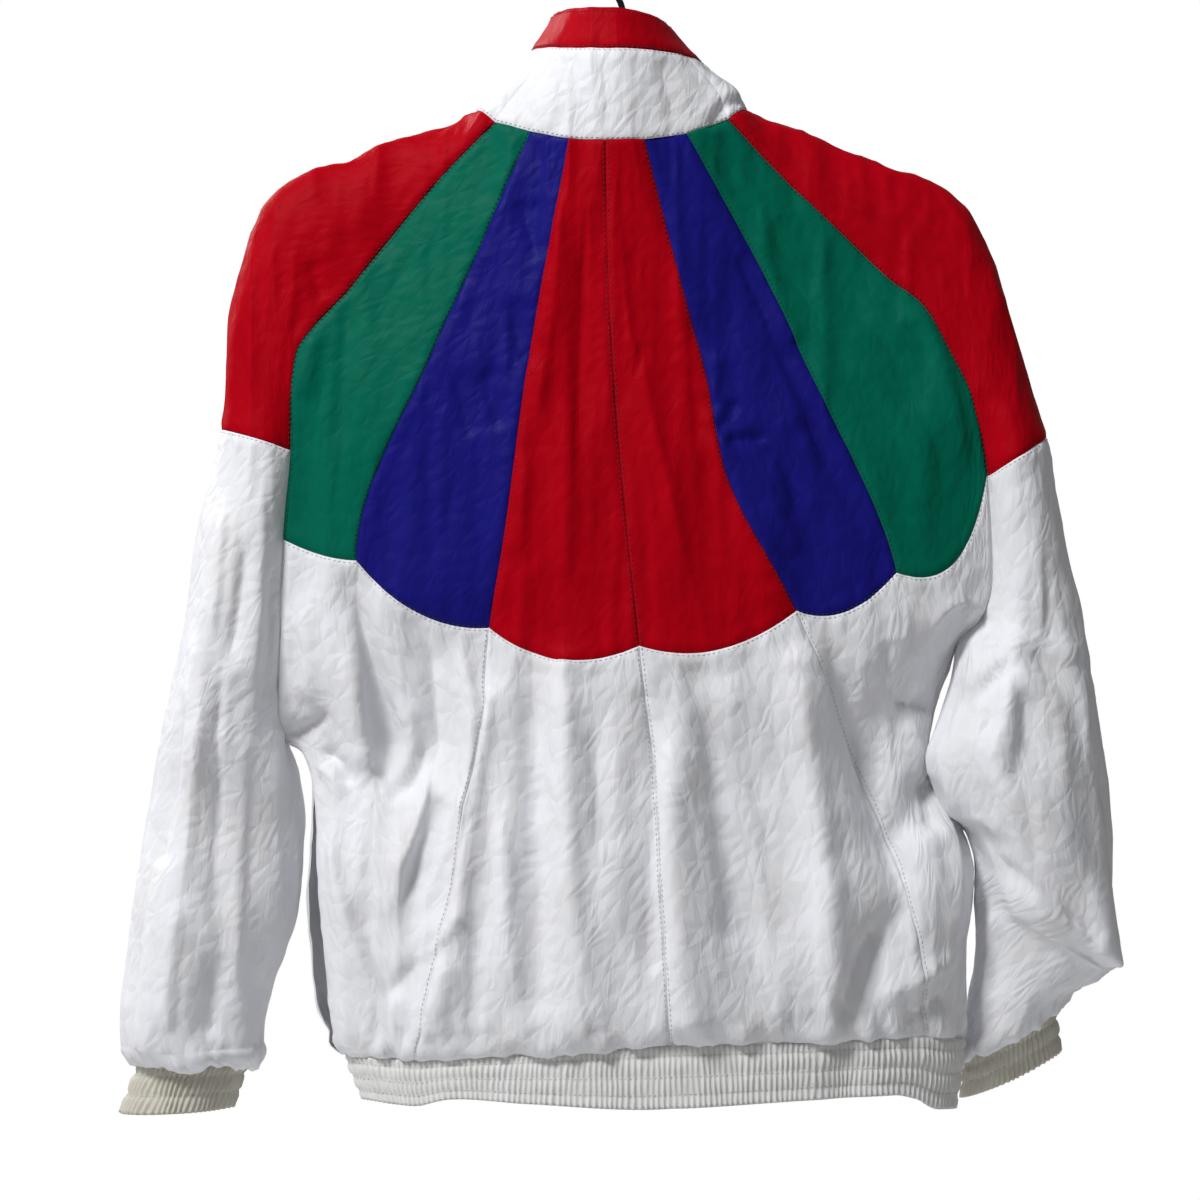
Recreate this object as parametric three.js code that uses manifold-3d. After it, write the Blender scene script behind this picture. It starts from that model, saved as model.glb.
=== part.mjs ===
// A nylon windbreaker jacket with a colour-blocked back, hanging on a plain hanger.
// Millimetres, +Z up, -Y out of the jacket's front, +X to the wearer's left.
// The origin is the inside top of the hanger's hook, where a rail carries it.
// Each cut piece of cloth is its own wall, worked out from section tables and parted at the seams.
import * as THREE from "three";
import Module from "manifold-3d";

// Driving sizes
const CLOTH = 1.6; // thickness of every cloth wall
const INNER_EDGE = 1.35; // over 1, a sleeve's section narrows to an edge on the side of the body
const SEAM_GAP = 0.3; // between two pieces at a seam
const ROUNDNESS = { above: 1, below: 0.55, over: 3 }; // how bluntly the body turns at its sides
const FOLD_FADE = { back: 0.25, sleeve: 0.125 }; // the share of a panel beside its seam where folds die out
const SEAM_REACH = 0.55; // the share of a sleeve that its seams with the body pull along
const MOST_MITRE = 1.5; // how far a folded seam may stretch the wall's thickness
const LEAST_ASIDE = 0.2; // how far a tight crease may stretch the drawing back of an edge
const SHARP = 0.6; // walls thin out where the pieces at a corner face further apart than this
const RIB = 1.6; // how far a gather of elastic cloth stands out
const UNDERARM = 14; // the row where the sleeves part from the body
const YOKE = 10; // the row of the yoke's lower edge
const HEM = 22; // the row where the body meets its elastic band
const SLEEVE_END = 24; // the row where a sleeve meets its cuff
const RED_END = { left: 9, right: 10 }; // the row of each shoulder panel's lower edge

// Lines down the back at seams: x from the middle, down from the hook, back from the hanger's plane
const BACK_LINES = {
  sideLeft: [
    { row: 0, x: 84, down: 131, back: 23 },
    { row: 2, x: 121, down: 169, back: 19 },
    { row: 4, x: 158, down: 213, back: 21 },
    { row: 5, x: 181, down: 242, back: 23 },
    { row: 6, x: 205, down: 268, back: 25 },
    { row: 7, x: 216, down: 287, back: 26 },
    { row: 8, x: 219, down: 317, back: 28 },
    { row: 9, x: 219, down: 348, back: 28 },
    { row: 10, x: 224, down: 407, back: 27 },
    { row: 12, x: 227, down: 487, back: 22 },
    { row: 13, x: 229, down: 521, back: 14 },
    { row: 14, x: 226, down: 537, back: 4 },
    { row: 15, x: 212, down: 550, back: 8 },
    { row: 16, x: 204, down: 577, back: 14 },
    { row: 18, x: 200, down: 650, back: 22 },
    { row: 20, x: 193, down: 710, back: 20 },
    { row: 21, x: 190, down: 732, back: 17 },
    { row: 22, x: 182, down: 748, back: 13 },
  ],
  blueGreenLeft: [
    { row: 0, x: 61, down: 138 },
    { row: 3, x: 97, down: 223 },
    { row: 5, x: 123, down: 280 },
    { row: 10, x: 175, down: 421 },
    { row: 14, x: 163, down: 541 },
    { row: 18, x: 166, down: 646 },
    { row: 22, x: 158, down: 749 },
  ],
  redBlueLeft: [
    { row: 0, x: 35, down: 144 },
    { row: 5, x: 64, down: 305 },
    { row: 8, x: 77, down: 401 },
    { row: 10, x: 88, down: 465 },
    { row: 14, x: 97, down: 543 },
    { row: 18, x: 117, down: 643 },
    { row: 22, x: 135, down: 750 },
  ],
  centre: [
    { row: 0, x: 11, down: 145, back: 45 },
    { row: 2, x: 10, down: 212, back: 47 },
    { row: 5, x: 5, down: 311, back: 52 },
    { row: 10, x: -11, down: 477, back: 60 },
    { row: 14, x: -19, down: 548, back: 66 },
    { row: 18, x: -27, down: 650, back: 74 },
    { row: 21, x: -30, down: 722, back: 72 },
    { row: 22, x: -31, down: 738, back: 60 },
  ],
  redBlueRight: [
    { row: 0, x: -15, down: 144 },
    { row: 3, x: -38, down: 237 },
    { row: 5, x: -55, down: 299 },
    { row: 7, x: -67, down: 361 },
    { row: 10, x: -114, down: 454 },
    { row: 14, x: -149, down: 538 },
    { row: 18, x: -183, down: 628 },
    { row: 20, x: -195, down: 677 },
    { row: 22, x: -199, down: 735 },
  ],
  blueGreenRight: [
    { row: 0, x: -42, down: 140 },
    { row: 3, x: -90, down: 227 },
    { row: 5, x: -118, down: 285 },
    { row: 10, x: -180, down: 429 },
    { row: 14, x: -190, down: 504 },
    { row: 16, x: -185, down: 552 },
    { row: 18, x: -200, down: 613 },
    { row: 20, x: -210, down: 677 },
    { row: 22, x: -212, down: 737 },
  ],
  sideRight: [
    { row: 0, x: -70, down: 129, back: 23 },
    { row: 2, x: -110, down: 171, back: 19 },
    { row: 4, x: -152, down: 211, back: 21 },
    { row: 5, x: -176, down: 234, back: 23 },
    { row: 6, x: -199, down: 252, back: 25 },
    { row: 7, x: -215, down: 280, back: 26 },
    { row: 8, x: -231, down: 313, back: 28 },
    { row: 10, x: -241, down: 365, back: 28 },
    { row: 12, x: -245, down: 433, back: 22 },
    { row: 13, x: -239, down: 458, back: 15 },
    { row: 14, x: -224, down: 474, back: 6 },
    { row: 15, x: -216, down: 497, back: 0 },
    { row: 16, x: -209, down: 523, back: -2 },
    { row: 17, x: -201, down: 555, back: 0 },
    { row: 18, x: -224, down: 597, back: 5 },
    { row: 19, x: -232, down: 633, back: 10 },
    { row: 20, x: -227, down: 677, back: 12 },
    { row: 21, x: -228, down: 713, back: 13 },
    { row: 22, x: -226, down: 738, back: 11 },
  ],
};
const LINE_ORDER = [
  "sideLeft",
  "blueGreenLeft",
  "redBlueLeft",
  "centre",
  "redBlueRight",
  "blueGreenRight",
  "sideRight",
];
// How far each yoke panel's lower edge bows from the straight line between its corners
const YOKE_BOWS = [
  { panel: "greenLeft", x: 0, down: 3 },
  { panel: "blueLeft", x: 2, down: 13 },
  { panel: "redLeft", x: 2, down: 15 },
  { panel: "redRight", x: 0, down: 14 },
  { panel: "blueRight", x: 0, down: 13 },
  { panel: "greenRight", x: -9, down: 25 },
];

// Soft folds of the back: a ridge, or a trough where it sinks, between two heights
const BACK_FOLDS = [
  { xTop: 205, top: 447, xFoot: 203, foot: 505, width: 12, rise: 5 },
  { xTop: 176, top: 440, xFoot: 158, foot: 560, width: 12, rise: -6 },
  { xTop: 131, top: 574, xFoot: 152, foot: 645, width: 12, rise: 5 },
  { xTop: 90, top: 514, xFoot: 123, foot: 727, width: 13, rise: 6 },
  { xTop: 61, top: 500, xFoot: 55, foot: 707, width: 12, rise: -5 },
  { xTop: 37, top: 494, xFoot: 28, foot: 720, width: 13, rise: 5 },
  { xTop: -15, top: 514, xFoot: -22, foot: 680, width: 11, rise: -4 },
  { xTop: -32, top: 554, xFoot: -45, foot: 720, width: 13, rise: 5 },
  { xTop: -52, top: 500, xFoot: -72, foot: 660, width: 13, rise: -6 },
  { xTop: -119, top: 490, xFoot: -145, foot: 720, width: 15, rise: 7 },
  { xTop: -139, top: 487, xFoot: -185, foot: 650, width: 13, rise: -6 },
  { xTop: -172, top: 660, xFoot: -145, foot: 735, width: 12, rise: -6 },
  { xTop: -198, top: 594, xFoot: -208, foot: 690, width: 14, rise: 6 },
  { xTop: -60, top: 330, xFoot: -96, foot: 440, width: 14, rise: 4 },
];
const SLEEVE_FOLDS = {
  left: [
    { shareTop: 0.3, top: 12, shareFoot: 0.36, foot: 22, width: 0.06, rise: 5 },
    { shareTop: 0.17, top: 14, shareFoot: 0.22, foot: 21, width: 0.05, rise: -5 },
    { shareTop: 0.7, top: 12, shareFoot: 0.62, foot: 21, width: 0.07, rise: 5 },
    { shareTop: 0.84, top: 14, shareFoot: 0.8, foot: 21, width: 0.06, rise: -4 },
  ],
  right: [
    { shareTop: 0.12, top: 15, shareFoot: 0.42, foot: 19, width: 0.06, rise: 6 },
    { shareTop: 0.25, top: 13, shareFoot: 0.48, foot: 18, width: 0.05, rise: -4 },
    { shareTop: 0.7, top: 12, shareFoot: 0.62, foot: 18, width: 0.07, rise: 5 },
    { shareTop: 0.86, top: 14, shareFoot: 0.8, foot: 21, width: 0.06, rise: -4 },
  ],
};
// The pocket mouth in the left side seam, where the front's edge hangs clear of the back's
const MOUTH = [
  { row: 15.5, out: 0, ahead: 0 },
  { row: 17, out: 5, ahead: 5 },
  { row: 18, out: 9, ahead: 8 },
  { row: 19, out: 9, ahead: 8 },
  { row: 20, out: 9, ahead: 7 },
  { row: 21, out: 5, ahead: 4 },
  { row: 22, out: 0, ahead: 0 },
];

// Front lines: the armhole seam in front, down to the underarm, and the zip's line
const FRONT_SIDES = {
  left: [
    { row: 0, x: 76, down: 148, back: -51 },
    { row: 1, x: 94, down: 163, back: -36 },
    { row: 2, x: 117, down: 180, back: -27 },
    { row: 4, x: 157, down: 220, back: -23 },
    { row: 6, x: 203, down: 270, back: -25 },
    { row: 8, x: 218, down: 318, back: -28 },
    { row: 10, x: 223, down: 405, back: -28 },
    { row: 12, x: 226, down: 487, back: -20 },
    { row: 13, x: 228, down: 521, back: -10 },
    { row: 14, x: 226, down: 537, back: 4 },
  ],
  right: [
    { row: 0, x: -62, down: 148, back: -51 },
    { row: 1, x: -82, down: 163, back: -36 },
    { row: 2, x: -106, down: 180, back: -27 },
    { row: 4, x: -151, down: 218, back: -23 },
    { row: 6, x: -198, down: 254, back: -25 },
    { row: 8, x: -230, down: 313, back: -28 },
    { row: 10, x: -240, down: 365, back: -28 },
    { row: 12, x: -243, down: 430, back: -20 },
    { row: 13, x: -237, down: 456, back: -8 },
    { row: 14, x: -224, down: 474, back: 6 },
  ],
};
const ZIP_LINE = [
  { row: 0, x: 5, down: 183, back: -80 },
  { row: 5, x: 2, down: 300, back: -66 },
  { row: 10, x: -4, down: 425, back: -62 },
  { row: 14, x: -9, down: 535, back: -66 },
  { row: 18, x: -15, down: 645, back: -74 },
  { row: 21, x: -19, down: 722, back: -72 },
  { row: 22, x: -20, down: 740, back: -62 },
];

// Sleeve sections: outer and inner edge, middle and half the depth, and the angle left open to the body
const SLEEVES = {
  left: [
    { row: 0, xOut: 97, downOut: 122, xIn: 63, downIn: 155, back: -14, half: 37, open: 90 },
    { row: 1, xOut: 112, downOut: 127, xIn: 93, downIn: 175, back: -6, half: 24, open: 90 },
    { row: 2, xOut: 134, downOut: 135, xIn: 109, downIn: 203, back: -2, half: 20, open: 90 },
    { row: 4, xOut: 181, downOut: 153, xIn: 135, downIn: 273, back: 0, half: 20, open: 90 },
    { row: 5, xOut: 211, downOut: 164, xIn: 152, downIn: 320, back: 0, half: 23, open: 90 },
    { row: 6, xOut: 233, downOut: 180, xIn: 176, downIn: 352, back: 0, half: 28, open: 88 },
    { row: 7, xOut: 249, downOut: 211, xIn: 190, downIn: 356, back: 0, half: 32, open: 84 },
    { row: 8, xOut: 260, downOut: 258, xIn: 200, downIn: 352, back: 0, half: 35, open: 74 },
    { row: 9, xOut: 266, downOut: 334, xIn: 208, downIn: 356, back: 0, half: 37, open: 62 },
    { row: 10, xOut: 280, downOut: 399, xIn: 212, downIn: 409, back: -1, half: 40, open: 50 },
    { row: 12, xOut: 294, downOut: 484, xIn: 214, downIn: 492, back: -4, half: 44, open: 38 },
    { row: 13, xOut: 302, downOut: 521, xIn: 216, downIn: 525, back: -6, half: 46, open: 22 },
    { row: 14, xOut: 307, downOut: 547, xIn: 219, downIn: 547, back: -8, half: 47, open: 0 },
    { row: 15, xOut: 312, downOut: 572, xIn: 214, downIn: 572, back: -12, half: 48, open: 0 },
    { row: 16, xOut: 317, downOut: 598, xIn: 213, downIn: 598, back: -10, half: 48, open: 0 },
    { row: 18, xOut: 325, downOut: 657, xIn: 218, downIn: 657, back: 0, half: 47, open: 0 },
    { row: 19, xOut: 328, downOut: 683, xIn: 227, downIn: 683, back: 0, half: 46, open: 0 },
    { row: 20, xOut: 331, downOut: 710, xIn: 236, downIn: 710, back: 0, half: 45, open: 0 },
    { row: 21, xOut: 332, downOut: 730, xIn: 239, downIn: 730, back: 0, half: 44, open: 0 },
    { row: 22, xOut: 331, downOut: 743, xIn: 240, downIn: 745, back: 0, half: 42, open: 0 },
    { row: 23, xOut: 323, downOut: 752, xIn: 246, downIn: 754, back: 0, half: 34, open: 0 },
    { row: 24, xOut: 317, downOut: 750, xIn: 250, downIn: 751, back: 0, half: 27, open: 0 },
  ],
  right: [
    { row: 0, xOut: -83, downOut: 122, xIn: -49, downIn: 155, back: -14, half: 37, open: 90 },
    { row: 1, xOut: -99, downOut: 128, xIn: -81, downIn: 175, back: -6, half: 24, open: 90 },
    { row: 2, xOut: -123, downOut: 137, xIn: -97, downIn: 205, back: -2, half: 20, open: 90 },
    { row: 4, xOut: -173, downOut: 157, xIn: -131, downIn: 266, back: 0, half: 20, open: 90 },
    { row: 5, xOut: -202, downOut: 168, xIn: -150, downIn: 300, back: 0, half: 23, open: 90 },
    { row: 6, xOut: -225, downOut: 182, xIn: -172, downIn: 322, back: 0, half: 28, open: 88 },
    { row: 7, xOut: -243, downOut: 209, xIn: -190, downIn: 348, back: 0, half: 32, open: 84 },
    { row: 8, xOut: -254, downOut: 245, xIn: -206, downIn: 366, back: 0, half: 35, open: 76 },
    { row: 9, xOut: -267, downOut: 295, xIn: -216, downIn: 372, back: 0, half: 38, open: 64 },
    { row: 10, xOut: -281, downOut: 339, xIn: -224, downIn: 372, back: 1, half: 41, open: 52 },
    { row: 12, xOut: -300, downOut: 440, xIn: -229, downIn: 437, back: 2, half: 43, open: 42 },
    { row: 13, xOut: -306, downOut: 473, xIn: -227, downIn: 465, back: 3, half: 44, open: 30 },
    { row: 14, xOut: -310, downOut: 495, xIn: -224, downIn: 485, back: 6, half: 46, open: 0 },
    { row: 15, xOut: -315, downOut: 523, xIn: -219, downIn: 505, back: 14, half: 50, open: 0 },
    { row: 16, xOut: -320, downOut: 557, xIn: -203, downIn: 550, back: 18, half: 50, open: 0 },
    { row: 17, xOut: -323, downOut: 590, xIn: -215, downIn: 585, back: 18, half: 48, open: 0 },
    { row: 18, xOut: -327, downOut: 640, xIn: -230, downIn: 602, back: 13, half: 46, open: 0 },
    { row: 19, xOut: -330, downOut: 687, xIn: -236, downIn: 621, back: 9, half: 44, open: 0 },
    { row: 20, xOut: -328, downOut: 691, xIn: -236, downIn: 645, back: 0, half: 37, open: 0 },
    { row: 21, xOut: -323, downOut: 695, xIn: -239, downIn: 678, back: -6, half: 38, open: 0 },
    { row: 22, xOut: -310, downOut: 703, xIn: -233, downIn: 718, back: -12, half: 37, open: 0 },
    { row: 23, xOut: -294, downOut: 712, xIn: -226, downIn: 752, back: -18, half: 33, open: 0 },
    { row: 24, xOut: -288, downOut: 718, xIn: -232, downIn: 751, back: -20, half: 26, open: 0 },
  ],
};
// Cuff rings, from the sleeve's end to the free edge
const CUFFS = {
  left: [
    { row: 0, xOut: 317, downOut: 750, xIn: 250, downIn: 751, back: 0, half: 26 },
    { row: 1, xOut: 333, downOut: 789, xIn: 260, downIn: 784, back: 0, half: 27 },
  ],
  right: [
    { row: 0, xOut: -288, downOut: 718, xIn: -232, downIn: 751, back: -20, half: 26 },
    { row: 1, xOut: -294, downOut: 750, xIn: -230, downIn: 782, back: -31, half: 27 },
  ],
};
const HEM_RIBS = 140; // gathers round the hem band
const CUFF_RIBS = 30; // gathers round each cuff
// Rings of the hem band: the part of its height, how far it stands out, how far its gathers rise
const BAND_ROWS = [
  { part: 0, flare: 0, rib: 0.5 },
  { part: 0.34, flare: 2, rib: 1 },
  { part: 0.67, flare: 2.5, rib: 0.8 },
  { part: 1, flare: 3, rib: 1 },
];
// The band's height and how far it draws in at its foot, by distance to the left of the back's middle
const BAND_FOOT = [
  { row: -230, height: 46, draw: 9 },
  { row: -214, height: 46, draw: 9 },
  { row: -195, height: 40, draw: 6 },
  { row: -180, height: 37, draw: 4 },
  { row: -120, height: 38, draw: 2 },
  { row: -30, height: 41, draw: 0 },
  { row: 60, height: 32, draw: 0 },
  { row: 115, height: 26, draw: -4 },
  { row: 145, height: 30, draw: -8 },
  { row: 180, height: 29, draw: -14 },
];

// Collar rings over the neck seam: edges seen from behind, then the height and depth at back and front
const COLLAR = [
  {
    row: 0, left: 97, right: -83, back: 45, front: -80,
    downLeft: 127, downRight: 127, downBack: 145, downFront: 183,
  },
  {
    row: 1, left: 78, right: -72, back: 44, front: -89,
    downLeft: 103, downRight: 106, downBack: 114, downFront: 154,
  },
  {
    row: 2, left: 61, right: -54, back: 41, front: -95,
    downLeft: 79, downRight: 87, downBack: 84, downFront: 126,
  },
  {
    row: 3, left: 45, right: -33, back: 34, front: -98,
    downLeft: 54, downRight: 65, downBack: 56, downFront: 97,
  },
];
const COLLAR_SEAM = 2; // the ring where the white band meets the red one
const TAPE = 7; // how much of each zip tape shows

// Where each surface is sampled
const BODY_ROWS = [
  0, 1, 2, 3, 4, 5, 6, 6.5, 7, 7.5, 8, 9, 10, 11, 12, 12.5, 13, 13.5, 14, 14.5,
  15, 16, 17, 18, 19, 20, 21, 22,
];
const SLEEVE_ROWS = [...BODY_ROWS, 22.5, 23, 23.5, 24];
const COLLAR_ROWS = [0, 0.6, 1.3, 2, 3];
const ROUND_STEPS = 12; // across a sleeve, from seam to seam
const SIDE_SHARES = [0, 0.05, 0.16, 0.34, 0.58, 0.8, 1]; // across a panel that turns at its side
const EVEN_SHARES = [0, 0.33, 0.67, 1];
const FRONT_SHARES = [0, 0.04, 0.13, 0.3, 0.55, 0.78, 1];

const COLOURS = {
  white: 0xdfe2ea,
  red: 0xc4002f,
  blue: 0x25257f,
  green: 0x007a62,
  black: 0x16161a,
  metal: 0xb9bcc2,
};

const lerp = (a, b, t) => a + (b - a) * t;
const clamp = (v, low, high) => Math.min(high, Math.max(low, v));
const easeIn = (t) => clamp(t, 0, 1) ** 2 * (3 - 2 * clamp(t, 0, 1));
const radians = (degrees) => (degrees * Math.PI) / 180;

// One column of a section table read at any row, on a curve with no overshoot between rows
function read(table, column, row) {
  const known = table.filter((entry) => entry[column] !== undefined);
  const last = known.length - 1;
  const at = clamp(row, known[0].row, known[last].row);
  let k = 0;
  while (k < last - 1 && known[k + 1].row < at) k += 1;
  const slope = (i) => (known[i + 1][column] - known[i][column]) / (known[i + 1].row - known[i].row);
  const tangent = (i) => {
    if (i === 0) return slope(0);
    if (i === last) return slope(last - 1);
    const before = slope(i - 1);
    const after = slope(i);
    return before * after > 0 ? (2 * before * after) / (before + after) : 0;
  };
  const span = known[k + 1].row - known[k].row;
  const t = (at - known[k].row) / span;
  const rise = known[k + 1][column] - known[k][column];
  const from = tangent(k) * span;
  const to = tangent(k + 1) * span;
  return known[k][column] + t * (from + t * (3 * rise - 2 * from - to + t * (from + to - 2 * rise)));
}

function pointOf(table, row) {
  return new THREE.Vector3(read(table, "x", row), read(table, "back", row), -read(table, "down", row));
}

// How far the cloth stands out between its side, share 0, and its middle, share 1
function swell(share, row) {
  const roundness = lerp(ROUNDNESS.above, ROUNDNESS.below, easeIn((row - UNDERARM) / ROUNDNESS.over));
  return (1 - (1 - share) ** 2) ** roundness;
}

// How far the back's folds lift a point
function backFold(x, down) {
  let lift = 0;
  for (const fold of BACK_FOLDS) {
    const [dx, dz] = [fold.xFoot - fold.xTop, fold.foot - fold.top];
    const along = clamp(((x - fold.xTop) * dx + (down - fold.top) * dz) / (dx * dx + dz * dz), 0, 1);
    const away = Math.hypot(x - fold.xTop - along * dx, down - fold.top - along * dz) / fold.width;
    lift += fold.rise * Math.exp(-(away ** 2));
  }
  return lift;
}

// How far a sleeve's folds lift a point from its section
function sleeveFold(side, share, row) {
  let lift = 0;
  for (const fold of SLEEVE_FOLDS[side]) {
    const along = clamp((row - fold.top) / (fold.foot - fold.top), 0, 1);
    const across = (share - lerp(fold.shareTop, fold.shareFoot, along)) / fold.width;
    const past = Math.max(0, fold.top - row, row - fold.foot);
    lift += fold.rise * Math.exp(-(across ** 2) - past ** 2);
  }
  const nearSeam = Math.min(share, 1 - share) / FOLD_FADE.sleeve;
  return lift * easeIn(nearSeam) * easeIn((SLEEVE_END - row) / 2);
}

// A point of the back: place 0 is the left side or armhole, 3 the middle seam, 6 the right side
function backPoint(place, row) {
  const line = clamp(Math.floor(place), 0, LINE_ORDER.length - 2);
  const share = place - line;
  const [from, to] = [line, line + 1].map((k) => BACK_LINES[LINE_ORDER[k]]);
  const bow = YOKE_BOWS[line];
  const bowing = 4 * share * (1 - share) * (1 - easeIn(Math.abs(row - YOKE) / 3));
  const x = lerp(read(from, "x", row), read(to, "x", row), share) + bow.x * bowing;
  const down = lerp(read(from, "down", row), read(to, "down", row), share) + bow.down * bowing;
  const side = place < 3 ? BACK_LINES.sideLeft : BACK_LINES.sideRight;
  const edge = read(side, "x", row);
  const across = clamp((x - edge) / (read(BACK_LINES.centre, "x", row) - edge), 0, 1);
  const sideBack = read(side, "back", row);
  const back = lerp(sideBack, read(BACK_LINES.centre, "back", row), swell(across, row));
  return new THREE.Vector3(x, back + backFold(x, down) * easeIn(across / FOLD_FADE.back), -down);
}

// The seam that a side's sleeve and front share down to the underarm, and the side seam below it
function sidePoint(side, row, face) {
  const behind = side === "left" ? BACK_LINES.sideLeft : BACK_LINES.sideRight;
  const table = face === "front" && row < UNDERARM ? FRONT_SIDES[side] : behind;
  return pointOf(table, row);
}

// A point of the front: share 0 is the zip's middle line, 1 the side or armhole seam
function frontPoint(side, share, row) {
  const edge = sidePoint(side, row, "front");
  if (side === "left" && row > MOUTH[0].row) {
    edge.x += read(MOUTH, "out", row);
    edge.y -= read(MOUTH, "ahead", row);
  }
  if (share >= 1) return edge;
  const zip = pointOf(ZIP_LINE, row);
  const scoop = lerp(share, 1 - swell(1 - share, 0), 1 - easeIn(row / 6));
  const x = lerp(zip.x, edge.x, share);
  const depth = lerp(edge.y, zip.y, swell(1 - share, row));
  return new THREE.Vector3(x, depth, lerp(zip.z, edge.z, scoop));
}

// A point of a sleeve's own section, an oval left open toward the body above the underarm
function sleeveRing(side, share, row) {
  const table = SLEEVES[side];
  const outer = new THREE.Vector3(read(table, "xOut", row), 0, -read(table, "downOut", row));
  const inner = new THREE.Vector3(read(table, "xIn", row), 0, -read(table, "downIn", row));
  const middle = outer.clone().add(inner).multiplyScalar(0.5);
  const reach = outer.clone().sub(middle);
  const open = row >= UNDERARM ? 0 : read(table, "open", row);
  const angle = radians(lerp(180 - open, open - 180, share));
  const fold = sleeveFold(side, share, row);
  const point = middle.addScaledVector(reach, Math.cos(angle) * (1 + fold / reach.length()));
  const slimness = Math.cos(angle) < 0 ? INNER_EDGE : 1;
  const swelling = Math.sign(Math.sin(angle)) * Math.abs(Math.sin(angle)) ** slimness;
  return point.setY(read(table, "back", row) + (read(table, "half", row) + fold) * swelling);
}

// A point of a sleeve, share 0 on its seam with the back and share 1 on its seam with the front
function sleevePoint(side, share, row) {
  const point = sleeveRing(side, share, row);
  const hold = 1 - easeIn((row - UNDERARM) / 2);
  if (hold === 0) return point;
  const seamRow = Math.min(row, UNDERARM);
  const pullTo = (part, face) => {
    const near = part === 0 ? 1 - share : share;
    const weight = hold * easeIn((near - 1 + SEAM_REACH) / SEAM_REACH);
    point.addScaledVector(sidePoint(side, seamRow, face).sub(sleeveRing(side, part, seamRow)), weight);
  };
  pullTo(0, "back");
  pullTo(1, "front");
  return point;
}

// A point of the collar over one point of the neck seam
function collarPoint(neck, row) {
  const value = (column) => read(COLLAR, column, row);
  const base = COLLAR[0];
  const half = { x: (base.left - base.right) / 2, y: (base.back - base.front) / 2 };
  const angle = Math.atan2((neck.y - base.back + half.y) / half.y, (neck.x - base.left + half.x) / half.x);
  const [cos, sin] = [Math.cos(angle), Math.sin(angle)];
  const heights = (at) =>
    cos ** 2 * (cos > 0 ? at.downLeft : at.downRight) + sin ** 2 * (sin > 0 ? at.downBack : at.downFront);
  const rowSizes = {};
  for (const column of Object.keys(base)) rowSizes[column] = value(column);
  const x = lerp(rowSizes.right, rowSizes.left, (1 + cos) / 2);
  const y = lerp(rowSizes.front, rowSizes.back, (1 + sin) / 2);
  const ring = new THREE.Vector3(x, y, -heights(rowSizes));
  const baseX = lerp(base.right, base.left, (1 + cos) / 2);
  const baseY = lerp(base.front, base.back, (1 + sin) / 2);
  const offSeam = neck.clone().sub(new THREE.Vector3(baseX, baseY, -heights(base)));
  return ring.addScaledVector(offSeam, 1 - easeIn(row / COLLAR_SEAM));
}

// A point of a cuff, or of the hem band, under one point of the edge it gathers
function cuffPoint(side, share, row) {
  const table = CUFFS[side];
  const edge = sleevePoint(side, share, SLEEVE_END);
  const ring = (at) => {
    const angle = radians(lerp(180, -180, share));
    const part = (1 + Math.cos(angle)) / 2;
    const x = lerp(read(table, "xIn", at), read(table, "xOut", at), part);
    const down = lerp(read(table, "downIn", at), read(table, "downOut", at), part);
    return new THREE.Vector3(x, read(table, "back", at) + read(table, "half", at) * Math.sin(angle), -down);
  };
  return edge.add(ring(row).sub(ring(0)));
}

function bandPoint(edge, row) {
  const outward = new THREE.Vector3(0.3 * (edge.x + 25), edge.y, 0).normalize();
  const down = read(BAND_FOOT, "height", edge.x) * row.part;
  const draw = read(BAND_FOOT, "draw", edge.x) * row.part;
  return edge.clone().addScaledVector(outward, row.flare).add(new THREE.Vector3(draw, 0, -down));
}

// A grid of points, a list of rows from the top down, each row turning left about the wall's hollow
const gridOf = (rows, places, pointAt) => rows.map((row) => places.map((place) => pointAt(place, row)));

const between = (rows, from, to) => rows.filter((row) => row >= from && row <= to);

const backPlaces = (from, to) => {
  const places = [];
  for (let line = from; line < to; line += 1) {
    let shares = EVEN_SHARES;
    if (line === 0) shares = SIDE_SHARES;
    if (line === LINE_ORDER.length - 2) shares = SIDE_SHARES.map((s) => 1 - s).reverse();
    shares.forEach((share) => places.push(line + share));
  }
  return [...new Set(places)];
};

const roundPlaces = (side) => {
  const shares = Array.from({ length: ROUND_STEPS + 1 }, (_, k) => k / ROUND_STEPS);
  return side === "left" ? shares.reverse() : shares;
};

// The shares of the front's columns on one side, with the tape's edge among them
function tapeShare(side, row) {
  return TAPE / Math.abs(sidePoint(side, row, "front").x - read(ZIP_LINE, "x", row));
}

function frontGrid(side, rows) {
  const shares = FRONT_SHARES.map((s) => 1 - s);
  if (side === "left") shares.reverse();
  return rows.map((row) => {
    const tape = tapeShare(side, row);
    return shares.map((share) => frontPoint(side, lerp(tape, 1, share), row));
  });
}

function tapeGrid(side, rows) {
  const shares = side === "left" ? [0, 1] : [1, 0];
  return rows.map((row) => shares.map((share) => frontPoint(side, share * tapeShare(side, row), row)));
}

const armGrid = (side, rows) =>
  gridOf(rows, roundPlaces(side), (share, row) => sleevePoint(side, share, row));

const joined = (...grids) =>
  grids[0].map((_, i) => grids.flatMap((grid, k) => (k ? grid[i].slice(1) : grid[i])));

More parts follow.
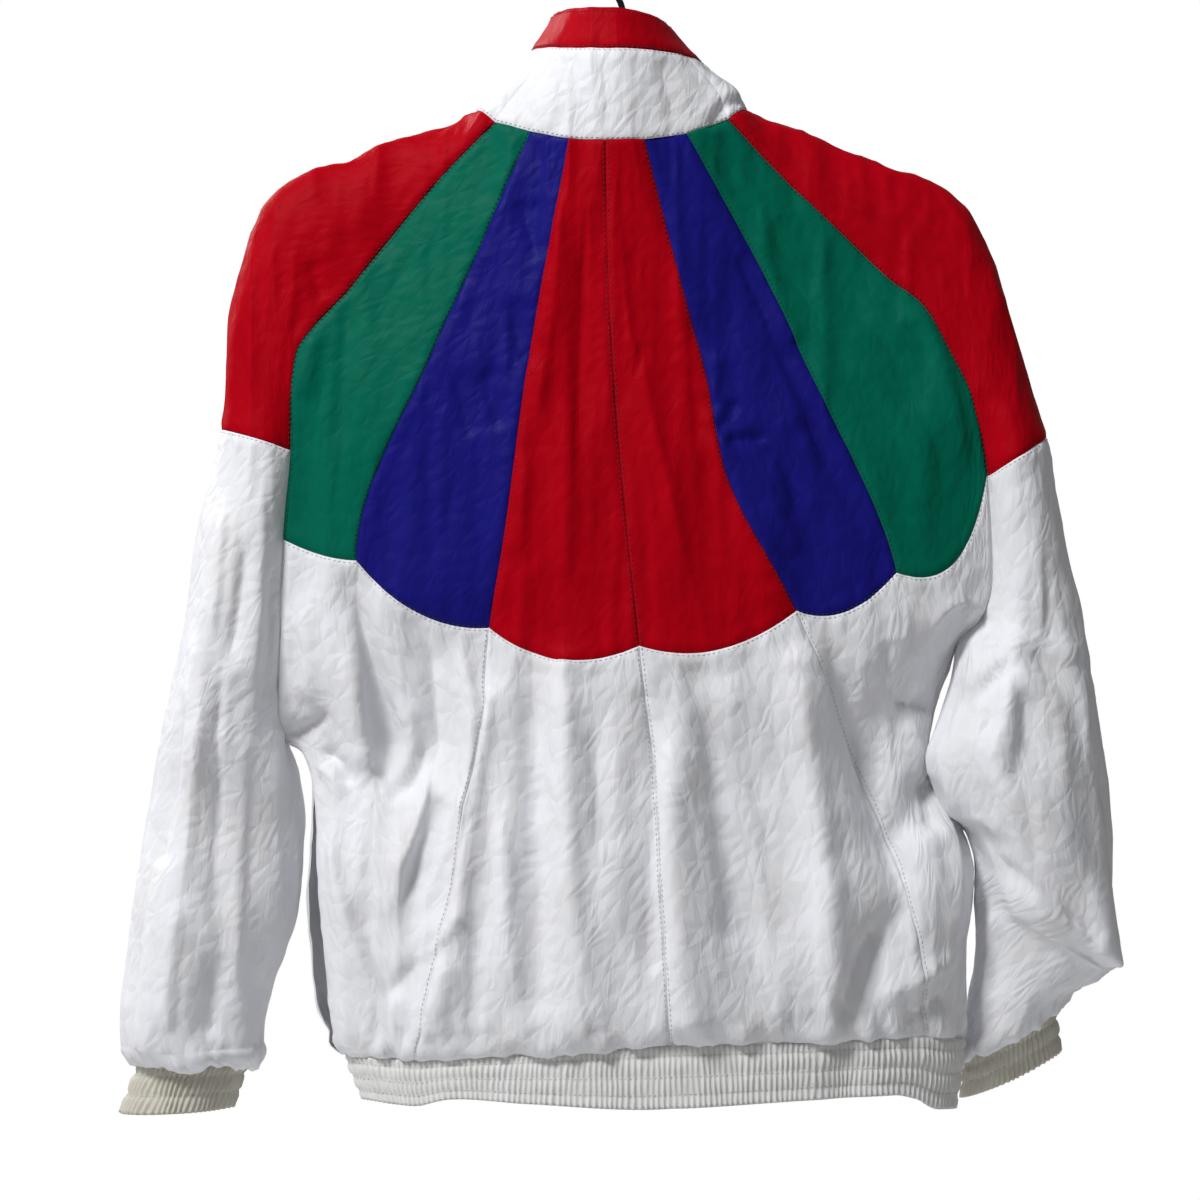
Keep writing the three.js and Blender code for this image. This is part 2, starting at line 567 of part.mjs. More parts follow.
// The neck seam's points, from the zip round the left side and back to the zip
const neckRows = [0];
const neckFrontLeft = frontGrid("left", neckRows);
const neckFrontRight = frontGrid("right", neckRows);
const neckSeam = joined(
  neckFrontLeft,
  armGrid("left", neckRows),
  gridOf(neckRows, backPlaces(0, 6), backPoint),
  armGrid("right", neckRows),
  neckFrontRight,
)[0];
const hemRows = [HEM];
const hemEdge = joined(
  frontGrid("left", hemRows),
  gridOf(hemRows, backPlaces(0, 6), backPoint),
  frontGrid("right", hemRows),
)[0];

const collarGrid = (neck, from, to) =>
  [...between(COLLAR_ROWS, from, to)].reverse().map((row) => neck.map((point) => collarPoint(point, row)));

// A zip tape from the collar's top to the foot of the hem band
function zipTape(side) {
  const neck = tapeGrid(side, neckRows)[0];
  const over = collarGrid(neck, 0, 3);
  const body = tapeGrid(side, BODY_ROWS.slice(1));
  const foot = body[body.length - 1];
  const band = BAND_ROWS.slice(1).map((row) => foot.map((point) => bandPoint(point, row)));
  return [...over, ...body, ...band];
}

const piece = (name, colour, grid, ribs) => ({ name, colour, grid, ribs });
const backPiece = (name, colour, from, to, top, foot) =>
  piece(name, colour, gridOf(between(BODY_ROWS, top, foot), backPlaces(from, to), backPoint));
const armPiece = (name, colour, side, top, foot) =>
  piece(name, colour, armGrid(side, between(SLEEVE_ROWS, top, foot)));

const cloth = [
  backPiece("back_green_left", "green", 0, 1, 0, YOKE),
  backPiece("back_blue_left", "blue", 1, 2, 0, YOKE),
  backPiece("back_red_left", "red", 2, 3, 0, YOKE),
  backPiece("back_red_right", "red", 3, 4, 0, YOKE),
  backPiece("back_blue_right", "blue", 4, 5, 0, YOKE),
  backPiece("back_green_right", "green", 5, 6, 0, YOKE),
  backPiece("back_side_left", "white", 0, 2, YOKE, HEM),
  backPiece("back_lower_left", "white", 2, 3, YOKE, HEM),
  backPiece("back_lower_right", "white", 3, 4, YOKE, HEM),
  backPiece("back_side_right", "white", 4, 6, YOKE, HEM),
  piece("front_left", "white", frontGrid("left", BODY_ROWS)),
  piece("front_right", "white", frontGrid("right", BODY_ROWS)),
  armPiece("shoulder_red_left", "red", "left", 0, RED_END.left),
  armPiece("shoulder_red_right", "red", "right", 0, RED_END.right),
  armPiece("sleeve_left", "white", "left", RED_END.left, SLEEVE_END),
  armPiece("sleeve_right", "white", "right", RED_END.right, SLEEVE_END),
  piece("collar_lower", "white", collarGrid(neckSeam, 0, COLLAR_SEAM)),
  piece("collar_upper", "red", collarGrid(neckSeam, COLLAR_SEAM, 3)),
  piece("zip_tape_left", "white", zipTape("left")),
  piece("zip_tape_right", "white", zipTape("right")),
  piece("hem_band", "white", BAND_ROWS.map((row) => hemEdge.map((point) => bandPoint(point, row))), {
    count: HEM_RIBS,
    heights: BAND_ROWS.map((row) => row.rib),
  }),
];
for (const side of ["left", "right"]) {
  const rows = [0, 0.33, 0.67, 1];
  const grid = gridOf(rows, roundPlaces(side), (share, row) => cuffPoint(side, share, row));
  cloth.push(piece(`cuff_${side}`, "white", grid, { count: CUFF_RIBS, heights: [0.5, 1, 0.8, 1] }));
}

// Cloth walls: the pieces' normals are shared where their points meet, so seams are mitred
const placeKey = (point) => point.toArray().map((v) => Math.round(v * 100)).join();

function pieceNormals({ grid }) {
  const normals = grid.map((row) => row.map(() => new THREE.Vector3()));
  for (let i = 0; i < grid.length - 1; i += 1) {
    for (let j = 0; j < grid[i].length - 1; j += 1) {
      const falling = grid[i + 1][j + 1].clone().sub(grid[i][j]);
      const rising = grid[i][j + 1].clone().sub(grid[i + 1][j]);
      const facing = falling.cross(rising).normalize();
      for (const corner of [normals[i], normals[i + 1]]) {
        corner[j].add(facing);
        corner[j + 1].add(facing);
      }
    }
  }
  return normals.map((row) => row.map((normal) => normal.normalize()));
}

function shareNormals(pieces) {
  const shared = new Map();
  for (const part of pieces) {
    part.normals = pieceNormals(part);
    part.grid.forEach((row, i) =>
      row.forEach((point, j) => {
        const key = placeKey(point);
        if (!shared.has(key)) shared.set(key, { sum: new THREE.Vector3(), count: 0 });
        shared.get(key).sum.add(part.normals[i][j]);
        shared.get(key).count += 1;
      }),
    );
  }
  for (const part of pieces) {
    part.offsets = part.grid.map((row, i) =>
      row.map((point, j) => {
        const { sum, count } = shared.get(placeKey(point));
        const facing = sum.clone().normalize();
        const mitre = Math.min(MOST_MITRE, 1 / Math.max(0.1, facing.dot(part.normals[i][j])));
        const thinned = Math.min(1, sum.length() / count / SHARP);
        return facing.multiplyScalar((CLOTH / 2) * mitre * thinned);
      }),
    );
  }
}

// Each edge is drawn back along the cloth until half the seam's gap lies between it and the mitre
function drawBack({ grid, offsets }) {
  const moved = grid.map((row) => row.map((point) => point.clone()));
  const last = { row: grid.length - 1, column: grid[0].length - 1 };
  const pull = (i, j, inward, along) => {
    const tangent = along.normalize();
    const into = inward.addScaledVector(tangent, -inward.dot(tangent)).normalize();
    const aside = Math.abs(offsets[i][j].clone().normalize().cross(tangent).normalize().dot(into));
    moved[i][j].addScaledVector(into, SEAM_GAP / 2 / Math.max(LEAST_ASIDE, aside));
  };
  const step = (i, j, di, dj) => {
    const before = grid[clamp(i - di, 0, last.row)][clamp(j - dj, 0, last.column)];
    const after = grid[clamp(i + di, 0, last.row)][clamp(j + dj, 0, last.column)];
    return after.clone().sub(before);
  };
  for (let j = 0; j <= last.column; j += 1) {
    pull(0, j, grid[1][j].clone().sub(grid[0][j]), step(0, j, 0, 1));
    pull(last.row, j, grid[last.row - 1][j].clone().sub(grid[last.row][j]), step(last.row, j, 0, 1));
  }
  for (let i = 0; i <= last.row; i += 1) {
    const inner = grid[i][last.column - 1].clone();
    pull(i, 0, grid[i][1].clone().sub(grid[i][0]), step(i, 0, 1, 0));
    pull(i, last.column, inner.sub(grid[i][last.column]), step(i, last.column, 1, 0));
  }
  return moved;
}

// More columns for a gathered piece: every second one is the crest of a gather
function gathered({ grid, offsets, ribs }) {
  const columns = 2 * ribs.count;
  const last = grid[0].length - 1;
  const lengths = [0];
  for (let j = 1; j <= last; j += 1) {
    lengths.push(lengths[j - 1] + grid[0][j].distanceTo(grid[0][j - 1]));
  }
  const spot = (k) => {
    const along = (lengths[last] * k) / columns;
    let j = 0;
    while (j < last - 1 && lengths[j + 1] < along) j += 1;
    return { j, t: (along - lengths[j]) / (lengths[j + 1] - lengths[j]) };
  };
  const mix = (source, i, { j, t }) => source[i][j].clone().lerp(source[i][Math.min(j + 1, last)], t);
  const all = Array.from({ length: columns + 1 }, (_, k) => spot(k));
  const crest = (i, k) => (k % 2 ? RIB * ribs.heights[i] : 0);
  return {
    inner: grid.map((_, i) => all.map((at) => mix(grid, i, at).sub(mix(offsets, i, at)))),
    outer: grid.map((_, i) =>
      all.map((at, k) => {
        const offset = mix(offsets, i, at);
        return mix(grid, i, at).add(offset).addScaledVector(offset.clone().normalize(), crest(i, k));
      }),
    ),
  };
}

function wallOf(part) {
  const grid = drawBack(part);
  if (part.ribs) {
    const { inner, outer } = gathered({ grid, offsets: part.offsets, ribs: part.ribs });
    return closedWall(outer, [inner[0], inner[inner.length - 1]]);
  }
  const shifted = (sign) =>
    grid.map((row, i) => row.map((point, j) => point.clone().addScaledVector(part.offsets[i][j], sign)));
  return closedWall(shifted(1), shifted(-1));
}

// Triangles between two lines of points, which may hold different numbers of them
function strip(triangles, first, second) {
  let a = 0;
  let b = 0;
  while (a < first.length - 1 || b < second.length - 1) {
    const nextA = (a + 1) / (first.length - 1);
    const nextB = (b + 1) / (second.length - 1);
    const alongFirst = b === second.length - 1 || (a < first.length - 1 && nextA <= nextB);
    if (alongFirst) triangles.push(first[a], second[b], first[a + 1]);
    else triangles.push(first[a], second[b], second[b + 1]);
    if (alongFirst) a += 1;
    else b += 1;
  }
}

function closedWall(outer, inner) {
  const triangles = [];
  const column = (grid, j) => grid.map((row) => row[j]);
  for (let i = 0; i < outer.length - 1; i += 1) strip(triangles, outer[i], outer[i + 1]);
  for (let i = 0; i < inner.length - 1; i += 1) strip(triangles, inner[i + 1], inner[i]);
  const last = outer[0].length - 1;
  strip(triangles, inner[0], outer[0]);
  strip(triangles, outer[outer.length - 1], inner[inner.length - 1]);
  strip(triangles, column(outer, 0), column(inner, 0));
  strip(triangles, column(inner, last), column(outer, last));
  return new THREE.BufferGeometry().setFromPoints(triangles);
}

shareNormals(cloth);

// Hard pieces
const HANGER = {
  thick: 10,
  steps: 18,
  path: [
    { x: 206, down: 172 },
    { x: 110, down: 136 },
    { x: 24, down: 106 },
    { x: 0, down: 100 },
    { x: -24, down: 106 },
    { x: -110, down: 140 },
    { x: -204, down: 177 },
  ],
};
const HOOK = { wire: 4.2, radius: 20, endAngle: 200, turn: 20, steps: 36 };
const HOOK_SHAFT = [
  { x: 0, down: 94.7 },
  { x: 0, down: 72 },
  { x: 0, down: 52 },
  { x: 7, down: 39 },
  { x: 16, down: 30 },
];
const BAR_SEGMENTS = 5; // in each half of a round bar
const ROD_SEGMENTS = 20;
const SLIDER = { wide: 8, narrow: 5, long: 12, thick: 2.6, off: 0.4 };
const POST = { thick: 1.2, deep: 2.4, sunk: 0.5, pin: 0.8, pinUp: 2.3, pinAt: 3 };
const PULL = { eye: 1.1, knuckle: 1.8, wide: 4.2, foot: 7, long: 24, thick: 1.4, side: 0.4, corner: 2 };

// A round bar along a path
function bar(points, thick, steps) {
  const section = new THREE.Shape().absarc(0, 0, thick / 2, 0, 2 * Math.PI);
  const extrudePath = new THREE.CatmullRomCurve3(points, false, "centripetal");
  const settings = { steps, curveSegments: BAR_SEGMENTS, bevelEnabled: false, extrudePath };
  return new THREE.ExtrudeGeometry(section, settings);
}

const placed = (path) => path.map((at) => new THREE.Vector3(at.x, 0, -at.down));

function hookPath() {
  const middle = -(HOOK.radius - HOOK.wire / 2);
  const points = placed(HOOK_SHAFT);
  for (let angle = 0; angle <= HOOK.endAngle; angle += HOOK.turn) {
    const [cos, sin] = [Math.cos(radians(angle)), Math.sin(radians(angle))];
    points.push(new THREE.Vector3(HOOK.radius * cos, 0, middle + HOOK.radius * sin));
  }
  return points;
}

// The zip's slider and pull, worked out with X to the wearer's right, Y out of the jacket and Z up the zip
const wasm = await Module();
wasm.setup();
const { Manifold, CrossSection } = wasm;

function geometryOf(solid) {
  const { numProp, vertProperties, triVerts } = solid.getMesh();
  const corners = Array.from(triVerts, (v) => new THREE.Vector3().fromArray(vertProperties, v * numProp));
  return new THREE.BufferGeometry().setFromPoints(corners);
}

const rodAcross = (radius, length, y, z) =>
  Manifold.cylinder(length, radius, radius, ROD_SEGMENTS, true).rotate([0, 90, 0]).translate([0, y, z]);

// A plate over the slider's outline, lying from one Y to another
const plate = (outline, fromY, toY) =>
  new CrossSection([outline], "Positive").extrude(toY - fromY).rotate([90, 0, 0]).translate([0, toY, 0]);

function sliderSolid() {
  const { wide, narrow, long, thick } = SLIDER;
  const outline = [
    [-narrow / 2, -long / 2],
    [narrow / 2, -long / 2],
    [wide / 2, long / 2],
    [-wide / 2, long / 2],
  ];
  const inner = PULL.wide / 2 + PULL.side;
  const tall = POST.pinUp + POST.pin + POST.sunk;
  const middle = thick - POST.sunk + tall / 2;
  const postAt = (x) => Manifold.cube([POST.thick, tall, POST.deep], true).translate([x, middle, POST.pinAt]);
  const pin = rodAcross(POST.pin, 2 * inner + POST.thick, thick + POST.pinUp, POST.pinAt);
  const reach = inner + POST.thick / 2;
  return Manifold.union([plate(outline, 0, thick), postAt(reach), postAt(-reach), pin]);
}

function pullSolid() {
  const hinge = SLIDER.thick + POST.pinUp;
  const top = POST.pinAt - (PULL.eye + PULL.knuckle) / 2;
  const foot = POST.pinAt - PULL.long;
  const [half, footHalf, cut] = [PULL.wide / 2, PULL.foot / 2, PULL.corner];
  const outline = [
    [-footHalf, foot + cut],
    [cut - footHalf, foot],
    [footHalf - cut, foot],
    [footHalf, foot + cut],
    [half, top],
    [-half, top],
  ];
  const tab = plate(outline, hinge - PULL.thick / 2, hinge + PULL.thick / 2);
  const knuckle = rodAcross(PULL.knuckle, PULL.wide, hinge, POST.pinAt);
  return Manifold.union([tab, knuckle]).subtract(rodAcross(PULL.eye, PULL.wide + 2, hinge, POST.pinAt));
}

// Where the slider lies: half way up the red band, clear of the tapes' outer face
function sliderFrame() {
  const zip = tapeGrid("left", neckRows)[0][0];
  const [low, high] = [collarPoint(zip, COLLAR_SEAM), collarPoint(zip, 3)];
  const up = high.clone().sub(low).normalize();
  const across = new THREE.Vector3(-1, 0, 0).addScaledVector(up, up.x).normalize();
  const out = up.clone().cross(across);
  const spot = low.lerp(high, 0.5).addScaledVector(out, CLOTH / 2 + SLIDER.off);
  return new THREE.Matrix4().makeBasis(across, out, up).setPosition(spot);
}

const group = new THREE.Group();
const materials = {};
for (const [name, colour] of Object.entries(COLOURS)) {
  materials[name] = new THREE.MeshStandardMaterial({ color: colour, roughness: 0.6 });
}

function add(name, colour, geometry, parent = group) {
  geometry.computeVertexNormals();
  const mesh = new THREE.Mesh(geometry, materials[colour]);
  mesh.name = name;
  parent.add(mesh);
}

for (const part of cloth) add(part.name, part.colour, wallOf(part));

const zipHead = new THREE.Group();
zipHead.applyMatrix4(sliderFrame());
group.add(zipHead);
add("zip_slider", "metal", geometryOf(sliderSolid()), zipHead);
add("zip_pull", "metal", geometryOf(pullSolid()), zipHead);

add("hanger", "black", bar(placed(HANGER.path), HANGER.thick, HANGER.steps));
add("hanger_hook", "black", bar(hookPath(), HOOK.wire, HOOK.steps));

export default group;
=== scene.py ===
"""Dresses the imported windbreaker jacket: thin nylon shells over its solids, gathers, stitching and a zip.

The surfaces are worked out in millimetres with +Z up and +Y out of the back, then made in metres.
"""

import math
from itertools import product

import bpy
import numpy as np
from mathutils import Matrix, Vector


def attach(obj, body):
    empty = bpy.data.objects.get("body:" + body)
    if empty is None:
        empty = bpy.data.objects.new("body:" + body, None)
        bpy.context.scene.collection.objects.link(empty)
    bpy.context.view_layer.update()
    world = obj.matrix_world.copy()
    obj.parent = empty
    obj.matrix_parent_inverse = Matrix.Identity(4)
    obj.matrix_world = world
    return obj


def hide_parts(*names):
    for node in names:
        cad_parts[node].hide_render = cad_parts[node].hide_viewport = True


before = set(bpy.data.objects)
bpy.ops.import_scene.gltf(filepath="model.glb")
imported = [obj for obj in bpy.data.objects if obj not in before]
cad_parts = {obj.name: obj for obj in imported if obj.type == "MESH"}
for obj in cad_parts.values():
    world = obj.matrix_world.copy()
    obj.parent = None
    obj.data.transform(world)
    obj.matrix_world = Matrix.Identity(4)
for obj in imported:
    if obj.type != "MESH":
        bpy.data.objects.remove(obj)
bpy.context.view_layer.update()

MM = 0.001
BODY = "jacket"
UNDERARM = 14
YOKE = 10
HEM = 22
SLEEVE_END = 24
RED_END = {"left": 9, "right": 10}
OUTER_FACE = 0.8  # how far the cloth's outer face lies from the surface it is worked out on
CLOTH = 0.6  # thickness of the shells
INNER_EDGE = 1.35
STEP = 2.9  # between the points of a shell
TAPE = 7

# The photograph: its middle and scale where the hanger hangs, and how far the camera stands off
PHOTO = {"middle": 600, "pixels": 1.5, "x": 14.67, "down": 447, "away": 3000}


def table(text):
    """A text table read by columns: its first line names them, and a dash leaves a value out."""
    names, *rows = [line.split() for line in text.strip().splitlines()]
    return {
        name: np.array([(float(row[0]), float(row[k])) for row in rows if row[k] != "-"])
        for k, name in enumerate(names)
    }


SIDE_LEFT = table("""
row  x    down back
0    84   131  23
2    121  169  19
4    158  213  21
5    181  242  23
6    205  268  25
7    216  287  26
8    219  317  28
9    219  348  28
10   224  407  27
12   227  487  22
13   229  521  14
14   226  537  4
15   212  550  8
16   204  577  14
18   200  650  22
20   193  710  20
21   190  732  17
22   182  748  13
""")
BLUE_GREEN_LEFT = table("""
row  x    down
0    61   138
3    97   223
5    123  280
10   175  421
14   163  541
18   166  646
22   158  749
""")
RED_BLUE_LEFT = table("""
row  x    down
0    35   144
5    64   305
8    77   401
10   88   465
14   97   543
18   117  643
22   135  750
""")
CENTRE = table("""
row  x    down back
0    11   145  45
2    10   212  47
5    5    311  52
10   -11  477  60
14   -19  548  66
18   -27  650  74
21   -30  722  72
22   -31  738  60
""")
RED_BLUE_RIGHT = table("""
row  x    down
0    -15  144
3    -38  237
5    -55  299
7    -67  361
10   -114 454
14   -149 538
18   -183 628
20   -195 677
22   -199 735
""")
BLUE_GREEN_RIGHT = table("""
row  x    down
0    -42  140
3    -90  227
5    -118 285
10   -180 429
14   -190 504
16   -185 552
18   -200 613
20   -210 677
22   -212 737
""")
SIDE_RIGHT = table("""
row  x    down back
0    -70  129  23
2    -110 171  19
4    -152 211  21
5    -176 234  23
6    -199 252  25
7    -215 280  26
8    -231 313  28
10   -241 365  28
12   -245 433  22
13   -239 458  15
14   -224 474  6
15   -216 497  0
16   -209 523  -2
17   -201 555  0
18   -224 597  5
19   -232 633  10
20   -227 677  12
21   -228 713  13
22   -226 738  11
""")
BACK_LINES = [
    SIDE_LEFT,
    BLUE_GREEN_LEFT,
    RED_BLUE_LEFT,
    CENTRE,
    RED_BLUE_RIGHT,
    BLUE_GREEN_RIGHT,
    SIDE_RIGHT,
]
# How far each yoke panel's lower edge bows: x, then down
YOKE_BOWS = np.array([(0, 3), (2, 13), (2, 15), (0, 14), (0, 13), (-9, 25)])

MOUTH = table("""
row   out ahead
15.5  0   0
17    5   5
18    9   8
19    9   8
20    9   7
21    5   4
22    0   0
""")
FRONT_SIDES = {
    "left": table("""
row  x    down back
0    76   148  -51
1    94   163  -36
2    117  180  -27
4    157  220  -23
6    203  270  -25
8    218  318  -28
10   223  405  -28
12   226  487  -20
13   228  521  -10
14   226  537  4
"""),
    "right": table("""
row  x    down back
0    -62  148  -51
1    -82  163  -36
2    -106 180  -27
4    -151 218  -23
6    -198 254  -25
8    -230 313  -28
10   -240 365  -28
12   -243 430  -20
13   -237 456  -8
14   -224 474  6
"""),
}
ZIP_LINE = table("""
row  x    down back
0    5    183  -80
5    2    300  -66
10   -4   425  -62
14   -9   535  -66
18   -15  645  -74
21   -19  722  -72
22   -20  740  -62
""")
SLEEVES = {
    "left": table("""
row x_out down_out x_in down_in back half open
0   97    122      63   155     -14  37   90
1   112   127      93   175     -6   24   90
2   134   135      109  203     -2   20   90
4   181   153      135  273     0    20   90
5   211   164      152  320     0    23   90
6   233   180      176  352     0    28   88
7   249   211      190  356     0    32   84
8   260   258      200  352     0    35   74
9   266   334      208  356     0    37   62
10  280   399      212  409     -1   40   50
12  294   484      214  492     -4   44   38
13  302   521      216  525     -6   46   22
14  307   547      219  547     -8   47   0
15  312   572      214  572     -12  48   0
16  317   598      213  598     -10  48   0
18  325   657      218  657     0    47   0
19  328   683      227  683     0    46   0
20  331   710      236  710     0    45   0
21  332   730      239  730     0    44   0
22  331   743      240  745     0    42   0
23  323   752      246  754     0    34   0
24  317   750      250  751     0    27   0
"""),
    "right": table("""
row x_out down_out x_in down_in back half open
0   -83   122      -49  155     -14  37   90
1   -99   128      -81  175     -6   24   90
2   -123  137      -97  205     -2   20   90
4   -173  157      -131 266     0    20   90
5   -202  168      -150 300     0    23   90
6   -225  182      -172 322     0    28   88
7   -243  209      -190 348     0    32   84
8   -254  245      -206 366     0    35   76
9   -267  295      -216 372     0    38   64
10  -281  339      -224 372     1    41   52
12  -300  440      -229 437     2    43   42
13  -306  473      -227 465     3    44   30
14  -310  495      -224 485     6    46   0
15  -315  523      -219 505     14   50   0
16  -320  557      -203 550     18   50   0
17  -323  590      -215 585     18   48   0
18  -327  640      -230 602     13   46   0
19  -330  687      -236 621     9    44   0
20  -328  691      -236 645     0    37   0
21  -323  695      -239 678     -6   38   0
22  -310  703      -233 718     -12  37   0
23  -294  712      -226 752     -18  33   0
24  -288  718      -232 751     -20  26   0
"""),
}
CUFFS = {
    "left": table("""
row x_out down_out x_in down_in back half
0   317   750      250  751     0    26
1   333   789      260  784     0    27
"""),
    "right": table("""
row x_out down_out x_in down_in back half
0   -288  718      -232 751     -20  26
1   -294  750      -230 782     -31  27
"""),
}
BAND_FOOT = table("""
x     height draw
-230  46     9
-214  46     9
-195  40     6
-180  37     4
-120  38     2
-30   41     0
60    32     0
115   26     -4
145   30     -8
180   29     -14
""")
BAND_MIDDLE, BAND_SIDEWAYS = -25, 0.3  # where the band flares from, and how much of it is sideways
BAND_FLARE = table("""
part  flare
0     0
0.34  2
0.67  2.5
1     3
""")
COLLAR = table("""
row left right down_left down_right down_back down_front back front
0   97   -83   127       127        145       183        45   -80
1   78   -72   103       106        114       154        44   -89
2   61   -54   79        87         84        126        41   -95
3   45   -33   54        65         56        97         34   -98
""")
COLLAR_SEAM = 2

# The largest folds, which the solids have too: a ridge, or a trough where it sinks
BACK_FOLDS = [
    (205, 447, 203, 505, 12, 5),
    (176, 440, 158, 560, 12, -6),
    (131, 574, 152, 645, 12, 5),
    (90, 514, 123, 727, 13, 6),
    (61, 500, 55, 707, 12, -5),
    (37, 494, 28, 720, 13, 5),
    (-15, 514, -22, 680, 11, -4),
    (-32, 554, -45, 720, 13, 5),
    (-52, 500, -72, 660, 13, -6),
    (-119, 490, -145, 720, 15, 7),
    (-139, 487, -185, 650, 13, -6),
    (-172, 660, -145, 735, 12, -6),
    (-198, 594, -208, 690, 14, 6),
    (-60, 330, -96, 440, 14, 4),
]
SLEEVE_FOLDS = {
    "left": [
        (0.3, 12, 0.36, 22, 0.06, 5),
        (0.17, 14, 0.22, 21, 0.05, -5),
        (0.7, 12, 0.62, 21, 0.07, 5),
        (0.84, 14, 0.8, 21, 0.06, -4),
    ],
    "right": [
        (0.12, 15, 0.42, 19, 0.06, 6),
        (0.25, 13, 0.48, 18, 0.05, -4),
        (0.7, 12, 0.62, 18, 0.07, 5),
        (0.86, 14, 0.8, 21, 0.06, -4),
    ],
}


def strokes(text):
    """A text list of strokes, one a line. A line that starts with # names the part of the jacket."""
    rows = [line for line in text.strip().splitlines() if not line.startswith("#")]
    return [tuple(float(word) for word in row.split()) for row in rows]


# Creases of the back: start, middle and end in the photograph's pixels, then width and rise in mm
BACK_CREASES = strokes("""
# Lower back
412 600 424 760 402 960 30 -9
352 600 362 700 372 790 12 5
735 700 745 850 755 1000 18 -5
352 590 372 680 386 782 5 -5
345 640 362 720 368 775 6 3.5
386 786 404 776 416 738 3.5 -4.5
398 700 410 745 396 782 5 3
322 752 340 763 348 788 3.5 -4.5
316 770 333 775 345 800 4 3
300 600 312 660 305 705 8 3
283 733 305 730 332 705 3.5 -3
425 640 428 700 432 765 5 -3.5
424 760 416 820 388 890 6 3.5
440 790 424 845 396 925 8 -3
462 790 440 850 415 920 6 3
440 930 412 965 385 997 6 -3.5
470 905 440 940 405 968 4 3
455 640 470 740 440 900 4 3.5
350 900 372 960 392 1010 5 -3
330 830 345 905 372 990 5 2.5
490 700 475 800 450 960 6 3
450 960 442 990 435 1025 5 3
480 860 475 960 470 1035 5 -3.5
500 800 510 900 520 1005 6 3
530 680 531 800 540 990 5 -4
565 670 570 800 580 1015 7 3
590 720 597 800 605 855 5 -3
620 700 621 830 620 955 7 2.5
645 700 652 800 642 1005 4.5 -3
670 760 674 870 690 1015 7 3
700 700 722 820 727 945 7 -4
750 750 775 860 785 955 11 -3.5
800 680 822 830 840 1005 8 3.5
830 660 868 790 905 905 7 -4.5
885 920 860 970 840 1045 6 -5
930 820 955 870 945 965 8 4
960 950 920 980 878 1002 5 3.5
950 990 925 1008 900 1022 4 -3.5
893 703 912 706 932 709 3.5 -4
885 640 889 668 890 702 5 -3
908 715 918 750 926 782 6 3
920 780 925 805 928 832 5 -3.5
# Yoke
560 180 555 300 530 450 8 2.5
530 450 522 510 515 562 7 2
570 400 569 500 565 602 7 2
585 220 580 350 575 482 6 -2.5
620 200 628 320 640 352 7 2
640 350 662 460 695 602 8 2.5
690 300 692 380 700 452 9 -2
735 398 727 415 718 432 3.5 -2.5
722 440 748 437 772 435 3.5 -2.5
760 448 785 470 796 522 4 -3
720 350 716 375 715 402 5 2
770 498 785 525 802 552 5 2
810 430 813 475 815 522 6 2
735 250 775 340 850 520 5 -2.5
760 200 778 300 802 342 6 2.5
905 300 942 360 966 472 7 2.5
320 328 311 365 304 402 6 2
345 300 342 375 334 452 5 -2
310 258 315 280 320 302 5 -2
520 198 528 230 541 262 7 -2
510 298 517 335 526 372 7 -2
455 368 462 405 471 442 7 -2
480 368 490 400 501 432 7 -2
# Collar
747 103 724 107 708 132 2.2 -3.2
742 95 718 99 698 122 3 2.4
655 60 668 90 672 128 5 -1.8
560 55 556 90 548 130 6 1.8
600 60 606 95 604 135 4 -1.5
# Left sleeve
228 500 222 570 211 642 3.5 2.5
243 538 239 600 225 672 5 -3.5
221 655 218 800 213 950 7 -4
213 950 211 1000 208 1040 6 -3.5
262 478 258 600 247 702 7 3
244 718 240 850 235 1005 6 3
272 558 270 640 268 702 5 -2.5
180 690 168 800 158 872 4.5 -3
202 690 194 800 181 902 4 4.5
181 900 173 965 166 1038 4 4
# Right sleeve
1012 655 985 682 948 705 5 -4
1020 688 1021 740 1008 792 6 -4
1012 675 1004 720 990 765 6 2.5
1002 716 975 722 953 711 3.5 -2.5
938 730 948 775 966 812 6 2.5
1042 518 1050 640 1053 762 9 -1.5
998 863 1052 905 1108 953 4.5 -4
1003 885 1055 935 1112 967 6 3.5
1088 983 1042 1024 998 1062 4.5 -4
1000 905 992 960 984 1040 6 3
927 640 955 604 989 613 5 3
1068 560 1085 700 1098 900 8 2
""")
